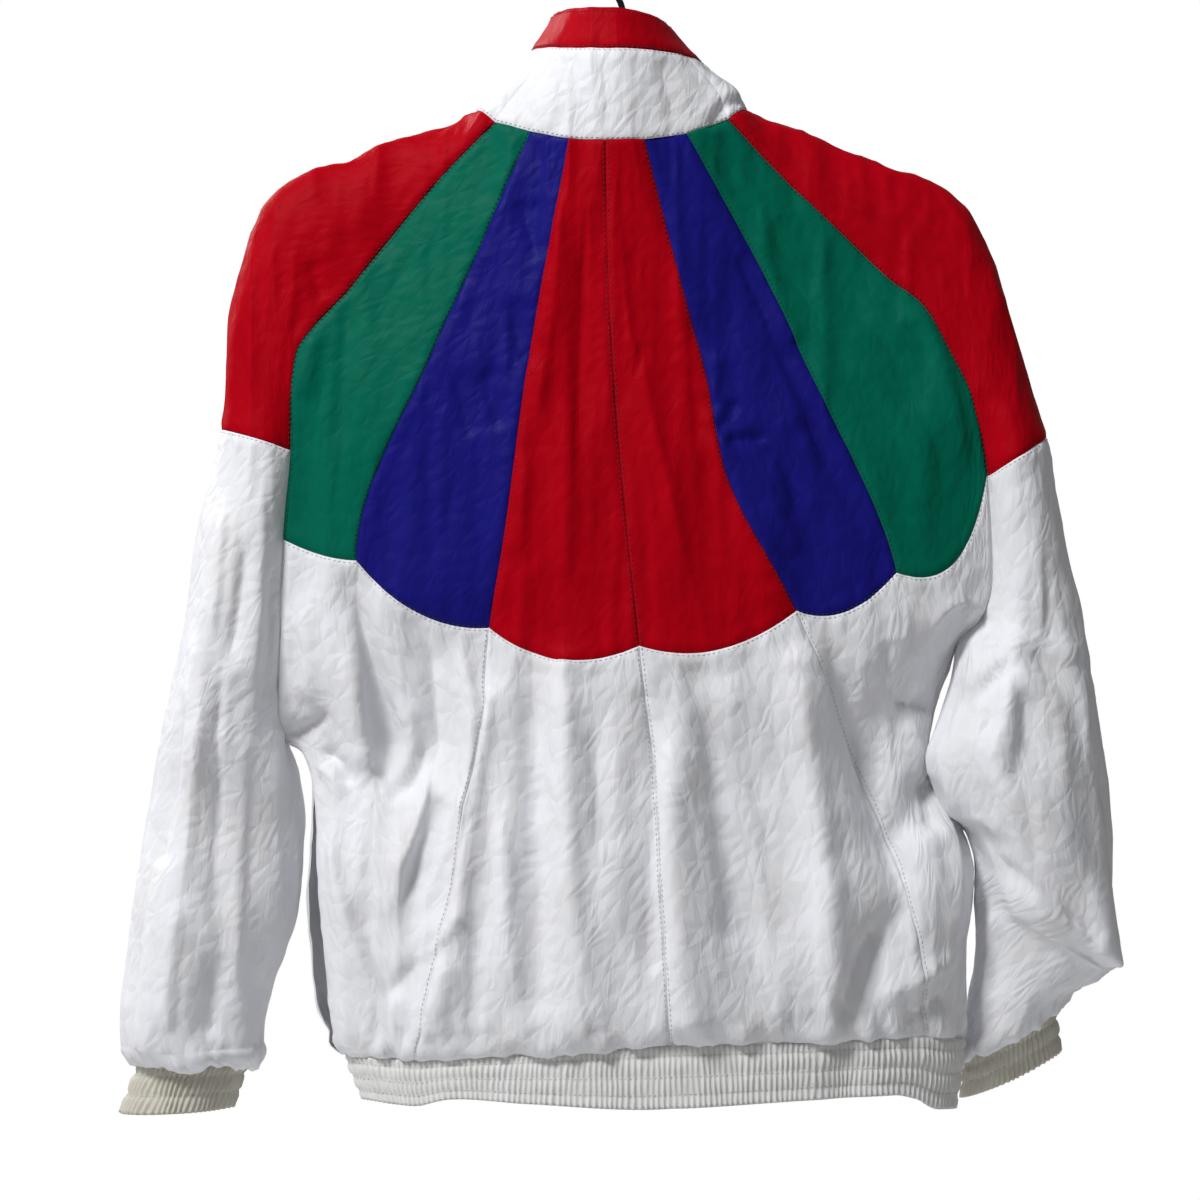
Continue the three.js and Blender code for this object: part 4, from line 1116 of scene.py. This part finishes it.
MATERIALS = {
    # The white cloth's cool and warm colours, mixed in random streaks, are partly a random tone and partly
    # painted bluish sheen and warm translucent patches.
    "white": nylon("white_nylon", linear(235, 237, 247), linear(216, 215, 213), 0.48, (30, 9, 1)),
    "red": nylon("red_nylon", linear(182, 0, 22), linear(146, 0, 12), 0.55, (40, 7, 1), 0.5, 0.04),
    "blue": nylon("blue_nylon", linear(26, 24, 128), linear(18, 16, 96), 0.5, (60, 9, 1), 0.7, 0.08),
    "green": nylon("green_nylon", linear(0, 106, 84), linear(0, 84, 66), 0.52, (60, 7, 1), 0.6, 0.06),
    "elastic": nylon("elastic_nylon", linear(226, 227, 228), linear(204, 203, 198), 0.6, (60, 30, 1), 0.4),
    # The cuffs' elastic is a darker, warmer copy of the hem band's elastic: painted shade.
    "cuff": nylon("cuff_elastic", linear(204, 201, 190), linear(184, 180, 166), 0.6, (60, 30, 1), 0.4),
    "tape": nylon("zip_tape", linear(222, 224, 230), linear(206, 208, 214), 0.75, (400, 400, 1), 0.1),
    "thread": hard("stitching_thread", linear(206, 208, 214), 0.7, 0.0, (3000, 3000, 3000)),
    # The coloured threads are about half as bright as their cloth: painted shade of the stitch holes and the
    # puckers beside them.
    "red_thread_painted_shade": hard("red_thread_painted_shade", linear(96, 4, 20), 0.7, 0.0, (3000, 3000, 3000)),
    "green_thread_painted_shade": hard("green_thread_painted_shade", linear(4, 52, 44), 0.7, 0.0, (3000, 3000, 3000)),
    "blue_thread_painted_shade": hard("blue_thread_painted_shade", linear(12, 12, 60), 0.7, 0.0, (3000, 3000, 3000)),
    "teeth": hard("zip_teeth", linear(226, 228, 232), 0.4, 0.0, (900, 900, 900)),
    "metal": hard("zip_metal", linear(190, 192, 196), 0.3, 1.0, (2000, 2000, 400)),
    "plastic": hard("hanger_plastic", linear(26, 26, 29), 0.45, 0.0, (500, 500, 500)),
    "wire": hard("hook_wire", linear(30, 30, 33), 0.35, 0.5, (900, 900, 900)),
}


# Cut pieces
def back_piece(name, colour, start, end, top, foot):
    return Piece(name, colour, grid_of(between(BODY_ROWS, top, foot), back_places(start, end), back_point))


def arm_piece(name, colour, side, top, foot):
    return Piece(name, colour, arm_grid(side, between(SLEEVE_ROWS, top, foot)))


pieces = [
    back_piece("back_green_left", "green", 0, 1, 0, YOKE),
    back_piece("back_blue_left", "blue", 1, 2, 0, YOKE),
    back_piece("back_red_left", "red", 2, 3, 0, YOKE),
    back_piece("back_red_right", "red", 3, 4, 0, YOKE),
    back_piece("back_blue_right", "blue", 4, 5, 0, YOKE),
    back_piece("back_green_right", "green", 5, 6, 0, YOKE),
    back_piece("back_side_left", "white", 0, 2, YOKE, HEM),
    back_piece("back_lower_left", "white", 2, 3, YOKE, HEM),
    back_piece("back_lower_right", "white", 3, 4, YOKE, HEM),
    back_piece("back_side_right", "white", 4, 6, YOKE, HEM),
    Piece("front_left", "white", front_grid("left", BODY_ROWS)),
    Piece("front_right", "white", front_grid("right", BODY_ROWS)),
    arm_piece("shoulder_red_left", "red", "left", 0, RED_END["left"]),
    arm_piece("shoulder_red_right", "red", "right", 0, RED_END["right"]),
    arm_piece("sleeve_left", "white", "left", RED_END["left"], SLEEVE_END),
    arm_piece("sleeve_right", "white", "right", RED_END["right"], SLEEVE_END),
    Piece("collar_lower", "white", collar_grid(neck_seam, 0, COLLAR_SEAM, 60)),
    Piece("collar_upper", "red", collar_grid(neck_seam, COLLAR_SEAM, 3, 30)),
    Piece("zip_tape_left", "tape", tape_strip("left"), relief=0),
    Piece("zip_tape_right", "tape", tape_strip("right"), relief=0),
]

# Elastic bands, worked out on a finer grid
STITCH_ROWS = (0.17, 0.48, 0.8)
CUFF_STITCH_ROWS = (0.33, 0.68)
BAND_STEP = 0.7
CUFF_COLUMNS = 361
RIB = 1.7
CUFF_RIB = 2.1
GATHER_PITCH = 3.7


def band_grid(edge, parts):
    fine = resampled(edge, BAND_STEP)
    return np.stack([band_point(fine, np.full(len(fine), part)) for part in parts])


def cuff_grid(side, parts):
    shares = np.linspace(0, 1, CUFF_COLUMNS)
    if side == "left":
        shares = shares[::-1]
    row, share = np.meshgrid(parts, shares, indexing="ij")
    return cuff_point(side, share, row)


BAND_PARTS = np.linspace(0, 1, 19)
bands = [
    Piece("hem_band", "elastic", band_grid(hem_edge, BAND_PARTS), relief=0),
    Piece("cuff_left", "cuff", cuff_grid("left", BAND_PARTS), relief=0),
    Piece("cuff_right", "cuff", cuff_grid("right", BAND_PARTS), relief=0),
]


def elastic_relief(piece):
    """Gathers that stand up between the rows of elastic stitching and are pinched flat on them."""
    across, _ = piece.lengths()
    part = np.broadcast_to(BAND_PARTS[:, None], across.shape)
    pinch = np.ones_like(part)
    rows = STITCH_ROWS if piece.name == "hem_band" else CUFF_STITCH_ROWS
    for row in rows:
        pinch = pinch * (1 - 0.6 * np.exp(-(((part - row) / 0.05) ** 2)))
    drift = ripples(piece.grid, 17, 60, seed=19) * 2.6 + ripples(piece.grid, 6, 9, seed=21) * 0.6
    turns = (across.mean(axis=0) + drift) / GATHER_PITCH
    wave = 0.5 + 0.5 * np.sin(2 * math.pi * turns)
    uneven = 0.8 + 0.45 * ripples(piece.grid, 9, 12, seed=23)
    edge = ease(part / 0.06) * 0.7 + 0.3
    rise = RIB if piece.name == "hem_band" else CUFF_RIB
    return rise * wave**1.3 * uneven * pinch * edge + 0.9 * (pinch - 0.6)


share_normals(pieces)
share_normals(bands)


def falls_to_elastic(piece):
    return piece.name.startswith(("back_side", "back_lower", "front_", "sleeve"))


def gather_reach(piece):
    """How near each point is to the elastic that gathers it, from 0 to 1."""
    _, along = piece.lengths()
    reach = 45 if piece.name.startswith("sleeve") else 60
    return 1 - (along[-1:] - along) / reach if falls_to_elastic(piece) else np.zeros_like(along)


BLOUSE = {"reach": 19, "out": 3.8, "sink": 2.2, "lip": 0.5}


def blouse(piece):
    """The cloth bags out over its elastic and turns back up to it: how far out, and how far down."""
    _, along = piece.lengths()
    near = np.clip((along[-1:] - along) / BLOUSE["reach"], 0, 1)
    fullness = np.clip(0.75 + 0.75 * ripples(piece.grid, 13, 60, seed=29), 0.1, 1.5)
    sleeve = 1.3 if piece.name.startswith("sleeve") else 1
    out = BLOUSE["out"] * sleeve * np.sin(math.pi * near) * fullness
    sink = BLOUSE["sink"] * sleeve * np.sin(math.pi * np.clip(near / BLOUSE["lip"], 0, 1)) * fullness
    return out, sink


def puckers(piece):
    """Short folds that run down from the seam at a piece's top."""
    _, along = piece.lengths()
    wave = ripples(piece.grid, 4.2, 34, seed=31) + 0.4 * ripples(piece.grid, 8, 50, seed=37)
    return PUCKER_RISE * wave * ease(along / 3) * (1 - ease(along / PUCKER_REACH))


for piece in pieces + bands:
    if piece in bands:
        piece.lift = elastic_relief(piece)
    elif not piece.name.startswith("zip_tape"):
        calm = 0.5 if piece.name.startswith("collar") else 1
        piece.lift = calm * (creases(piece.grid, piece.normals) + crinkle(piece.grid))
        piece.lift += gathers(piece.grid, gather_reach(piece)) + seam_relief(piece)
        if falls_to_elastic(piece):
            out, sink = blouse(piece)
            piece.lift += out + puckers(piece)
            piece.grid[..., 2] -= sink
    piece.outer = piece.grid + piece.normals * (OUTER_FACE + piece.lift)[..., None]
    inner = piece.outer - piece.normals * CLOTH
    name, material = f"{piece.name}_cloth", MATERIALS[piece.colour]
    obj = shell(name, piece.outer, inner, piece.lengths(), material)
    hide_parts(piece.name)
    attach(obj, BODY)


# Stitching
def line_inside(piece, edge, inset):
    """The line on a piece's face that runs a little inside one of its edges, with the face's normals."""
    across, along = piece.lengths()
    outer, normals = piece.outer, piece.normals
    if edge in ("top", "foot"):
        outer, normals, across = outer.swapaxes(0, 1), normals.swapaxes(0, 1), along.T
    if edge in ("foot", "last"):
        outer, normals, across = outer[:, ::-1], normals[:, ::-1], across[:, -1:] - across[:, ::-1]
    k = np.clip([np.searchsorted(row, inset) for row in across], 1, across.shape[1] - 1)
    n = np.arange(len(k))
    t = ((inset - across[n, k - 1]) / (across[n, k] - across[n, k - 1]))[:, None]
    return lerp(outer[n, k - 1], outer[n, k], t), lerp(normals[n, k - 1], normals[n, k], t)


STITCH = {"pitch": 3.4, "length": 2.1, "radius": 0.32, "proud": 0.22}


def small_faces(count, rings):
    """The faces of small bodies, each of a few four-cornered rings one after the other."""
    index = np.arange(count * rings * 4).reshape(count, rings, 4)
    following = np.roll(index, -1, axis=2)
    walls = [
        np.stack([index[:, i, j], following[:, i, j], following[:, i + 1, j], index[:, i + 1, j]], -1)
        for i, j in product(range(rings - 1), range(4))
    ]
    return np.concatenate(walls + [index[:, 0, ::-1], index[:, -1]])


def stitches(line, normals, slant):
    """The corners and faces of the stitches along a line."""
    lengths = run_lengths(line)
    starts = np.arange(0.6, lengths[-1] - STITCH["length"], STITCH["pitch"])
    parts = np.array([0, 0.25, 0.75, 1])
    at = starts[:, None] + parts * STITCH["length"]
    middle = read_along(line, lengths, at)
    up = unit(read_along(normals, lengths, at))
    along = middle[:, -1:] - middle[:, :1]
    side = unit(np.cross(np.broadcast_to(along, up.shape), up))
    middle = middle + side * (slant * (parts - 0.5))[:, None]
    thick = STITCH["radius"] * np.array([0.55, 1, 1, 0.55])[:, None]
    middle = middle + up * (STITCH["proud"] * np.array([-0.8, 1, 1, -0.8]))[:, None]
    corners = np.stack([middle + way * thick for way in (side, up, -side, -up)], 2)
    return corners.reshape(-1, 3), small_faces(len(starts), len(parts))


def sew(name, colour, lines, body_slot):
    """One piece that holds the stitches of several lines."""
    corners, faces, start = [], [], 0
    for line, normals, slant in lines:
        new_corners, new_faces = stitches(line, normals, slant)
        corners.append(new_corners)
        faces.append(new_faces + start)
        start += len(new_corners)
    faces = np.concatenate(faces)
    smooth = np.ones(len(faces), bool)
    obj = mesh_object(name, np.concatenate(corners), faces.tolist(), smooth, None, MATERIALS[colour])
    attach(obj, BODY)


by_name = {piece.name: piece for piece in pieces + bands}


def seam_lines(rows):
    return [(*line_inside(by_name[name], edge, inset), slant) for name, edge, inset, slant in rows]


def band_rows(name, parts):
    """The lines of elastic stitching on a band."""
    piece = by_name[name]
    lines = []
    for part in parts:
        k = int(np.argmin(np.abs(BAND_PARTS - part)))
        lines.append((piece.outer[k, ::3], piece.normals[k, ::3], 0.0))
    return lines


# Each row of stitching: piece, edge, how far inside it, and how much each stitch slants
WHITE_SEAMS = [
    ("back_lower_left", "last", 1.6, 0),
    ("back_lower_right", "first", 1.6, 0),
    ("back_side_left", "last", 1.6, 0),
    ("back_side_right", "first", 1.6, 0),
    ("back_side_left", "top", 1.5, 0),
    ("back_lower_left", "top", 1.5, 0),
    ("back_lower_right", "top", 1.5, 0),
    ("back_side_right", "top", 1.5, 0),
    ("sleeve_left", "top", 1.5, 0),
    ("sleeve_right", "top", 1.5, 0),
    ("collar_lower", "top", 1.2, 1.0),
    ("collar_lower", "foot", 1.5, 0),
    ("front_left", "first", 2.0, 0),
    ("front_right", "last", 2.0, 0),
]
RED_SEAMS = [
    ("back_red_left", "first", 1.4, 0),
    ("back_red_left", "last", 1.4, 0),
    ("back_red_right", "first", 1.4, 0),
    ("back_red_right", "last", 1.4, 0),
    ("collar_upper", "top", 3.0, 0),
    ("collar_upper", "foot", 1.4, 0),
    ("shoulder_red_left", "first", 1.4, 0.8),
    ("shoulder_red_left", "last", 1.4, 0.8),
    ("shoulder_red_right", "first", 1.4, 0.8),
    ("shoulder_red_right", "last", 1.4, 0.8),
]
GREEN_SEAMS = [
    ("back_green_left", "last", 1.4, 0),
    ("back_green_right", "first", 1.4, 0),
    ("back_green_left", "first", 1.4, 0),
    ("back_green_right", "last", 1.4, 0),
]
BLUE_SEAMS = [
    ("back_blue_left", "foot", 1.4, 0),
    ("back_blue_right", "foot", 1.4, 0),
]
SEWING = [
    ("stitching_white", "thread", seam_lines(WHITE_SEAMS), "white_nylon"),
    ("stitching_red", "red_thread_painted_shade", seam_lines(RED_SEAMS), "red_nylon"),
    ("stitching_green", "green_thread_painted_shade", seam_lines(GREEN_SEAMS), "green_nylon"),
    ("stitching_blue", "blue_thread_painted_shade", seam_lines(BLUE_SEAMS), "blue_nylon"),
    ("stitching_hem", "thread", band_rows("hem_band", STITCH_ROWS), "elastic_band"),
    ("stitching_cuff_left", "thread", band_rows("cuff_left", CUFF_STITCH_ROWS), "elastic_band"),
    ("stitching_cuff_right", "thread", band_rows("cuff_right", CUFF_STITCH_ROWS), "elastic_band"),
]
for row in SEWING:
    sew(*row)

# The zip's teeth: each holds the tape's edge and reaches a little past the middle
TOOTH = {"pitch": 2.5, "wide": 2.9, "tall": 1.15, "thick": 1.5, "bevel": 0.35, "past": 0.9, "first": 3}
# The rings of a tooth: how high, and how much of its full size
TOOTH_RINGS = ((-1, 0.6), (0.2, 1.0), (1, 0.55))


def tooth_shape():
    """A tooth's corners: how far in from the tape's edge, down the zip and out of the tape."""
    shape = []
    for level, grow in TOOTH_RINGS:
        tall = TOOTH["tall"] / 2 * grow
        inset = (1 - grow) * TOOTH["bevel"] * 2
        ahead, behind = inset - TOOTH["past"], TOOTH["wide"] - TOOTH["past"] - inset
        for reach, drop in ((ahead, -0.7), (ahead, 0.7), (behind, 1), (behind, -1)):
            shape.append((reach, drop * tall, level * TOOTH["thick"] / 2))
    return np.array(shape)


def teeth(side):
    piece = by_name[f"zip_tape_{side}"]
    edge, inside = (0, 1) if side == "left" else (-1, -2)
    line, normals = piece.outer[:, edge], piece.normals[:, edge]
    lengths = run_lengths(line)
    start = TOOTH["first"] + (0.5 * TOOTH["pitch"] if side == "right" else 0)
    at = np.arange(start, lengths[-1] - TOOTH["first"], TOOTH["pitch"])
    middle, up = read_along(line, lengths, at), unit(read_along(normals, lengths, at))
    across = unit(read_along(piece.outer[:, inside] - line, lengths, at))
    down = unit(np.cross(across, up))
    shape = tooth_shape()
    corners = middle[:, None] + sum(shape[:, k, None] * (across, down, up)[k][:, None] for k in range(3))
    faces = small_faces(len(at), 3)
    if side == "left":
        faces = faces[:, ::-1]
    flat = np.zeros(len(faces), bool)
    name = f"zip_teeth_{side}"
    obj = mesh_object(name, corners.reshape(-1, 3), faces.tolist(), flat, None, MATERIALS["teeth"])
    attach(obj, BODY)


for side in ("left", "right"):
    teeth(side)

# The hanger's bar and hook
HANGER_PATH = [(206, 172), (110, 136), (24, 106), (0, 100), (-24, 106), (-110, 140), (-204, 177)]
HOOK_SHAFT = [(0, 94.7), (0, 72), (0, 52), (7, 39), (16, 30)]
HOOK_RADIUS, HOOK_END = 20, 200
BAR_THICK, WIRE_THICK = 10, 4.2
DOME = np.array([0.02, 0.4, 0.72, 0.92])  # how wide a bar's rounded end is at each ring


def smooth_path(places, steps):
    """A curve through places, each x and down, by the same rule as the solids' own paths."""
    points = np.array([(x, 0, -down) for x, down in places], float)
    points = np.concatenate([[2 * points[0] - points[1]], points, [2 * points[-1] - points[-2]]])
    made = []
    for k in range(1, len(points) - 2):
        before, start, end, after = points[k - 1 : k + 3]
        gaps = np.linalg.norm(np.diff([before, start, end, after], axis=0), axis=1)
        knots = np.concatenate([[0], np.cumsum(gaps**0.5)])
        t = np.linspace(knots[1], knots[2], steps, endpoint=False)[:, None]

        def blend(a, b, low, high):
            return lerp(a, b, (t - knots[low]) / (knots[high] - knots[low]))

        first, second, third = blend(before, start, 0, 1), blend(start, end, 1, 2), blend(end, after, 2, 3)
        made.append(blend(blend(first, second, 0, 2), blend(second, third, 1, 3), 1, 2))
    return np.concatenate(made + [points[-2:-1]])


def round_bar(name, path, thick, material, sides=24):
    """A round bar with domed ends along a path in the hanger's plane."""
    tangents = unit(np.gradient(path, axis=0))
    depth = thick / 2 * (1 - np.sqrt(1 - DOME**2))[:, None]
    start, end = path[0] + tangents[0] * depth, path[-1] - tangents[-1] * depth[::-1]
    clear = slice(2, -2)  # the path's own points that the domes leave free
    middle = np.concatenate([start, path[clear], end])
    radius = thick / 2 * np.concatenate([DOME, np.ones(len(path[clear])), DOME[::-1]])
    first, last = np.repeat(tangents[:1], len(DOME), 0), np.repeat(tangents[-1:], len(DOME), 0)
    backward = np.array([0, 1, 0])
    aside = np.cross(np.concatenate([first, tangents[clear], last]), backward)
    angles = np.linspace(0, 2 * math.pi, sides, endpoint=False)
    ring = aside[:, None] * np.cos(angles)[:, None] + backward * np.sin(angles)[:, None]
    corners = middle[:, None] + ring * radius[:, None, None]
    index = np.arange(len(middle) * sides).reshape(len(middle), sides)
    following = np.roll(index, -1, axis=1)
    faces = np.stack([index[:-1], index[1:], following[1:], following[:-1]], -1).reshape(-1, 4).tolist()
    faces += [index[0].tolist(), index[-1, ::-1].tolist()]
    return mesh_object(name, corners.reshape(-1, 3), faces, np.ones(len(faces), bool), None, material)


turns = [math.radians(angle) for angle in range(0, HOOK_END + 1, 20)]
hook_middle = HOOK_RADIUS - WIRE_THICK / 2
hook_places = HOOK_SHAFT + [
    (HOOK_RADIUS * math.cos(turn), hook_middle - HOOK_RADIUS * math.sin(turn)) for turn in turns
]
bars = {
    "hanger": round_bar("hanger_bar", smooth_path(HANGER_PATH, 10), BAR_THICK, MATERIALS["plastic"]),
    "hanger_hook": round_bar("hook_wire", smooth_path(hook_places, 8), WIRE_THICK, MATERIALS["wire"]),
}
for node, slot in {"hanger": "hanger_plastic", "hanger_hook": "hook_wire"}.items():
    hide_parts(node)
    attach(bars[node], BODY)

for node in ("zip_slider", "zip_pull"):
    for slot in bpy.data.objects.get(node).material_slots:
        slot.material = MATERIALS["metal"]

# Stage
FLOOR = {"radius": 1.6, "height": -1.6, "sides": 64}
floor_mesh = bpy.data.meshes.new("floor")
turns = [2 * math.pi * k / FLOOR["sides"] for k in range(FLOOR["sides"])]
ring = [(FLOOR["radius"] * math.cos(a), FLOOR["radius"] * math.sin(a), FLOOR["height"]) for a in turns]
floor_mesh.from_pydata(ring, [], [list(range(FLOOR["sides"]))])
floor = bpy.data.objects.new("floor", floor_mesh)
floor_material, floor_nodes, _ = new_material("floor")
floor_nodes["Principled BSDF"].inputs["Base Color"].default_value = linear(240, 240, 240)
floor_nodes["Principled BSDF"].inputs["Roughness"].default_value = 0.8
floor_mesh.materials.append(floor_material)
bpy.context.scene.collection.objects.link(floor)

SKY = {"above": 0.3, "below": 0.09}
LIGHTS = [
    {"name": "key", "at": (1.7, 1.9, 2.1), "size": 0.8, "watts": 116},
    {"name": "side_fill", "at": (2.6, 0.9, -0.9), "size": 1.2, "watts": 9},
    {"name": "front_key", "at": (2.2, -2.2, 1.3), "size": 1.2, "watts": 75},
]
target = Vector((0.01, 0, -0.42))
for entry in LIGHTS:
    light = bpy.data.lights.new(entry["name"], "AREA")
    light.size, light.energy = entry["size"], entry["watts"]
    lamp = bpy.data.objects.new(entry["name"], light)
    lamp.location = entry["at"]
    lamp.rotation_euler = (target - lamp.location).to_track_quat("-Z", "Y").to_euler()
    bpy.context.scene.collection.objects.link(lamp)

# The surroundings light the jacket more from above than from below
world = bpy.data.worlds.new("studio")
world.use_nodes = True
bpy.context.scene.world = world
nodes, links = world.node_tree.nodes, world.node_tree.links
backdrop, surround = nodes["Background"], nodes.new("ShaderNodeBackground")
backdrop.inputs["Color"].default_value = (1, 1, 1, 1)
tint = nodes.new("ShaderNodeMix")
tint.data_type = "RGBA"
tint.inputs["A"].default_value = (1, 0.93, 0.82, 1)
tint.inputs["B"].default_value = (0.93, 0.96, 1, 1)
links.new(tint.outputs["Result"], surround.inputs["Color"])
heights = nodes.new("ShaderNodeSeparateXYZ")
links.new(nodes.new("ShaderNodeTexCoord").outputs["Generated"], heights.inputs["Vector"])
sky = nodes.new("ShaderNodeMapRange")
sky.interpolation_type = "SMOOTHSTEP"
sky.inputs["From Min"].default_value, sky.inputs["From Max"].default_value = -0.6, 0.6
sky.inputs["To Min"].default_value, sky.inputs["To Max"].default_value = SKY["below"], SKY["above"]
links.new(heights.outputs["Z"], sky.inputs["Value"])
links.new(sky.outputs["Result"], surround.inputs["Strength"])
warmth = nodes.new("ShaderNodeMapRange")
warmth.inputs["From Min"].default_value, warmth.inputs["From Max"].default_value = -0.3, 0.5
links.new(heights.outputs["Z"], warmth.inputs["Value"])
links.new(warmth.outputs["Result"], tint.inputs["Factor"])
choose, seen = nodes.new("ShaderNodeMixShader"), nodes.new("ShaderNodeLightPath")
links.new(seen.outputs["Is Camera Ray"], choose.inputs["Fac"])
links.new(surround.outputs["Background"], choose.inputs[1])
links.new(backdrop.outputs["Background"], choose.inputs[2])
links.new(choose.outputs["Shader"], nodes["World Output"].inputs["Surface"])

camera_data = bpy.data.cameras.new("camera")
camera_data.lens, camera_data.sensor_width = 135, 36
camera = bpy.data.objects.new("camera", camera_data)
camera.location = (PHOTO["x"] * MM, PHOTO["away"] * MM, -PHOTO["down"] * MM)
camera.rotation_euler = (math.radians(90), 0, math.radians(180))
bpy.context.scene.collection.objects.link(camera)
bpy.context.scene.camera = camera
bpy.context.scene.view_settings.view_transform = "Standard"

# The cut of each piece of cloth
FULLNESS = {"hem_band": 1.5, "cuff_left": 1.5, "cuff_right": 1.5}
TAPE_CUT = 14  # a zip tape is woven this wide, and half of it is sewn behind the front's edge


def cut_size(piece):
    """The width, length and area that a piece is cut to, along its folds, in metres."""
    across, along = piece.lengths()
    one = piece.grid[1:, 1:] - piece.grid[:-1, :-1]
    other = piece.grid[:-1, 1:] - piece.grid[1:, :-1]
    area = 0.5 * np.linalg.norm(np.cross(one, other), axis=-1).sum()
    full = FULLNESS.get(piece.name, 1)
    width = TAPE_CUT if piece.name.startswith("zip_tape") else across[:, -1].max() * full
    return width * MM, along[-1].max() * MM, area * full * MM**2


for piece in pieces + bands:
    width, length, area = cut_size(piece)
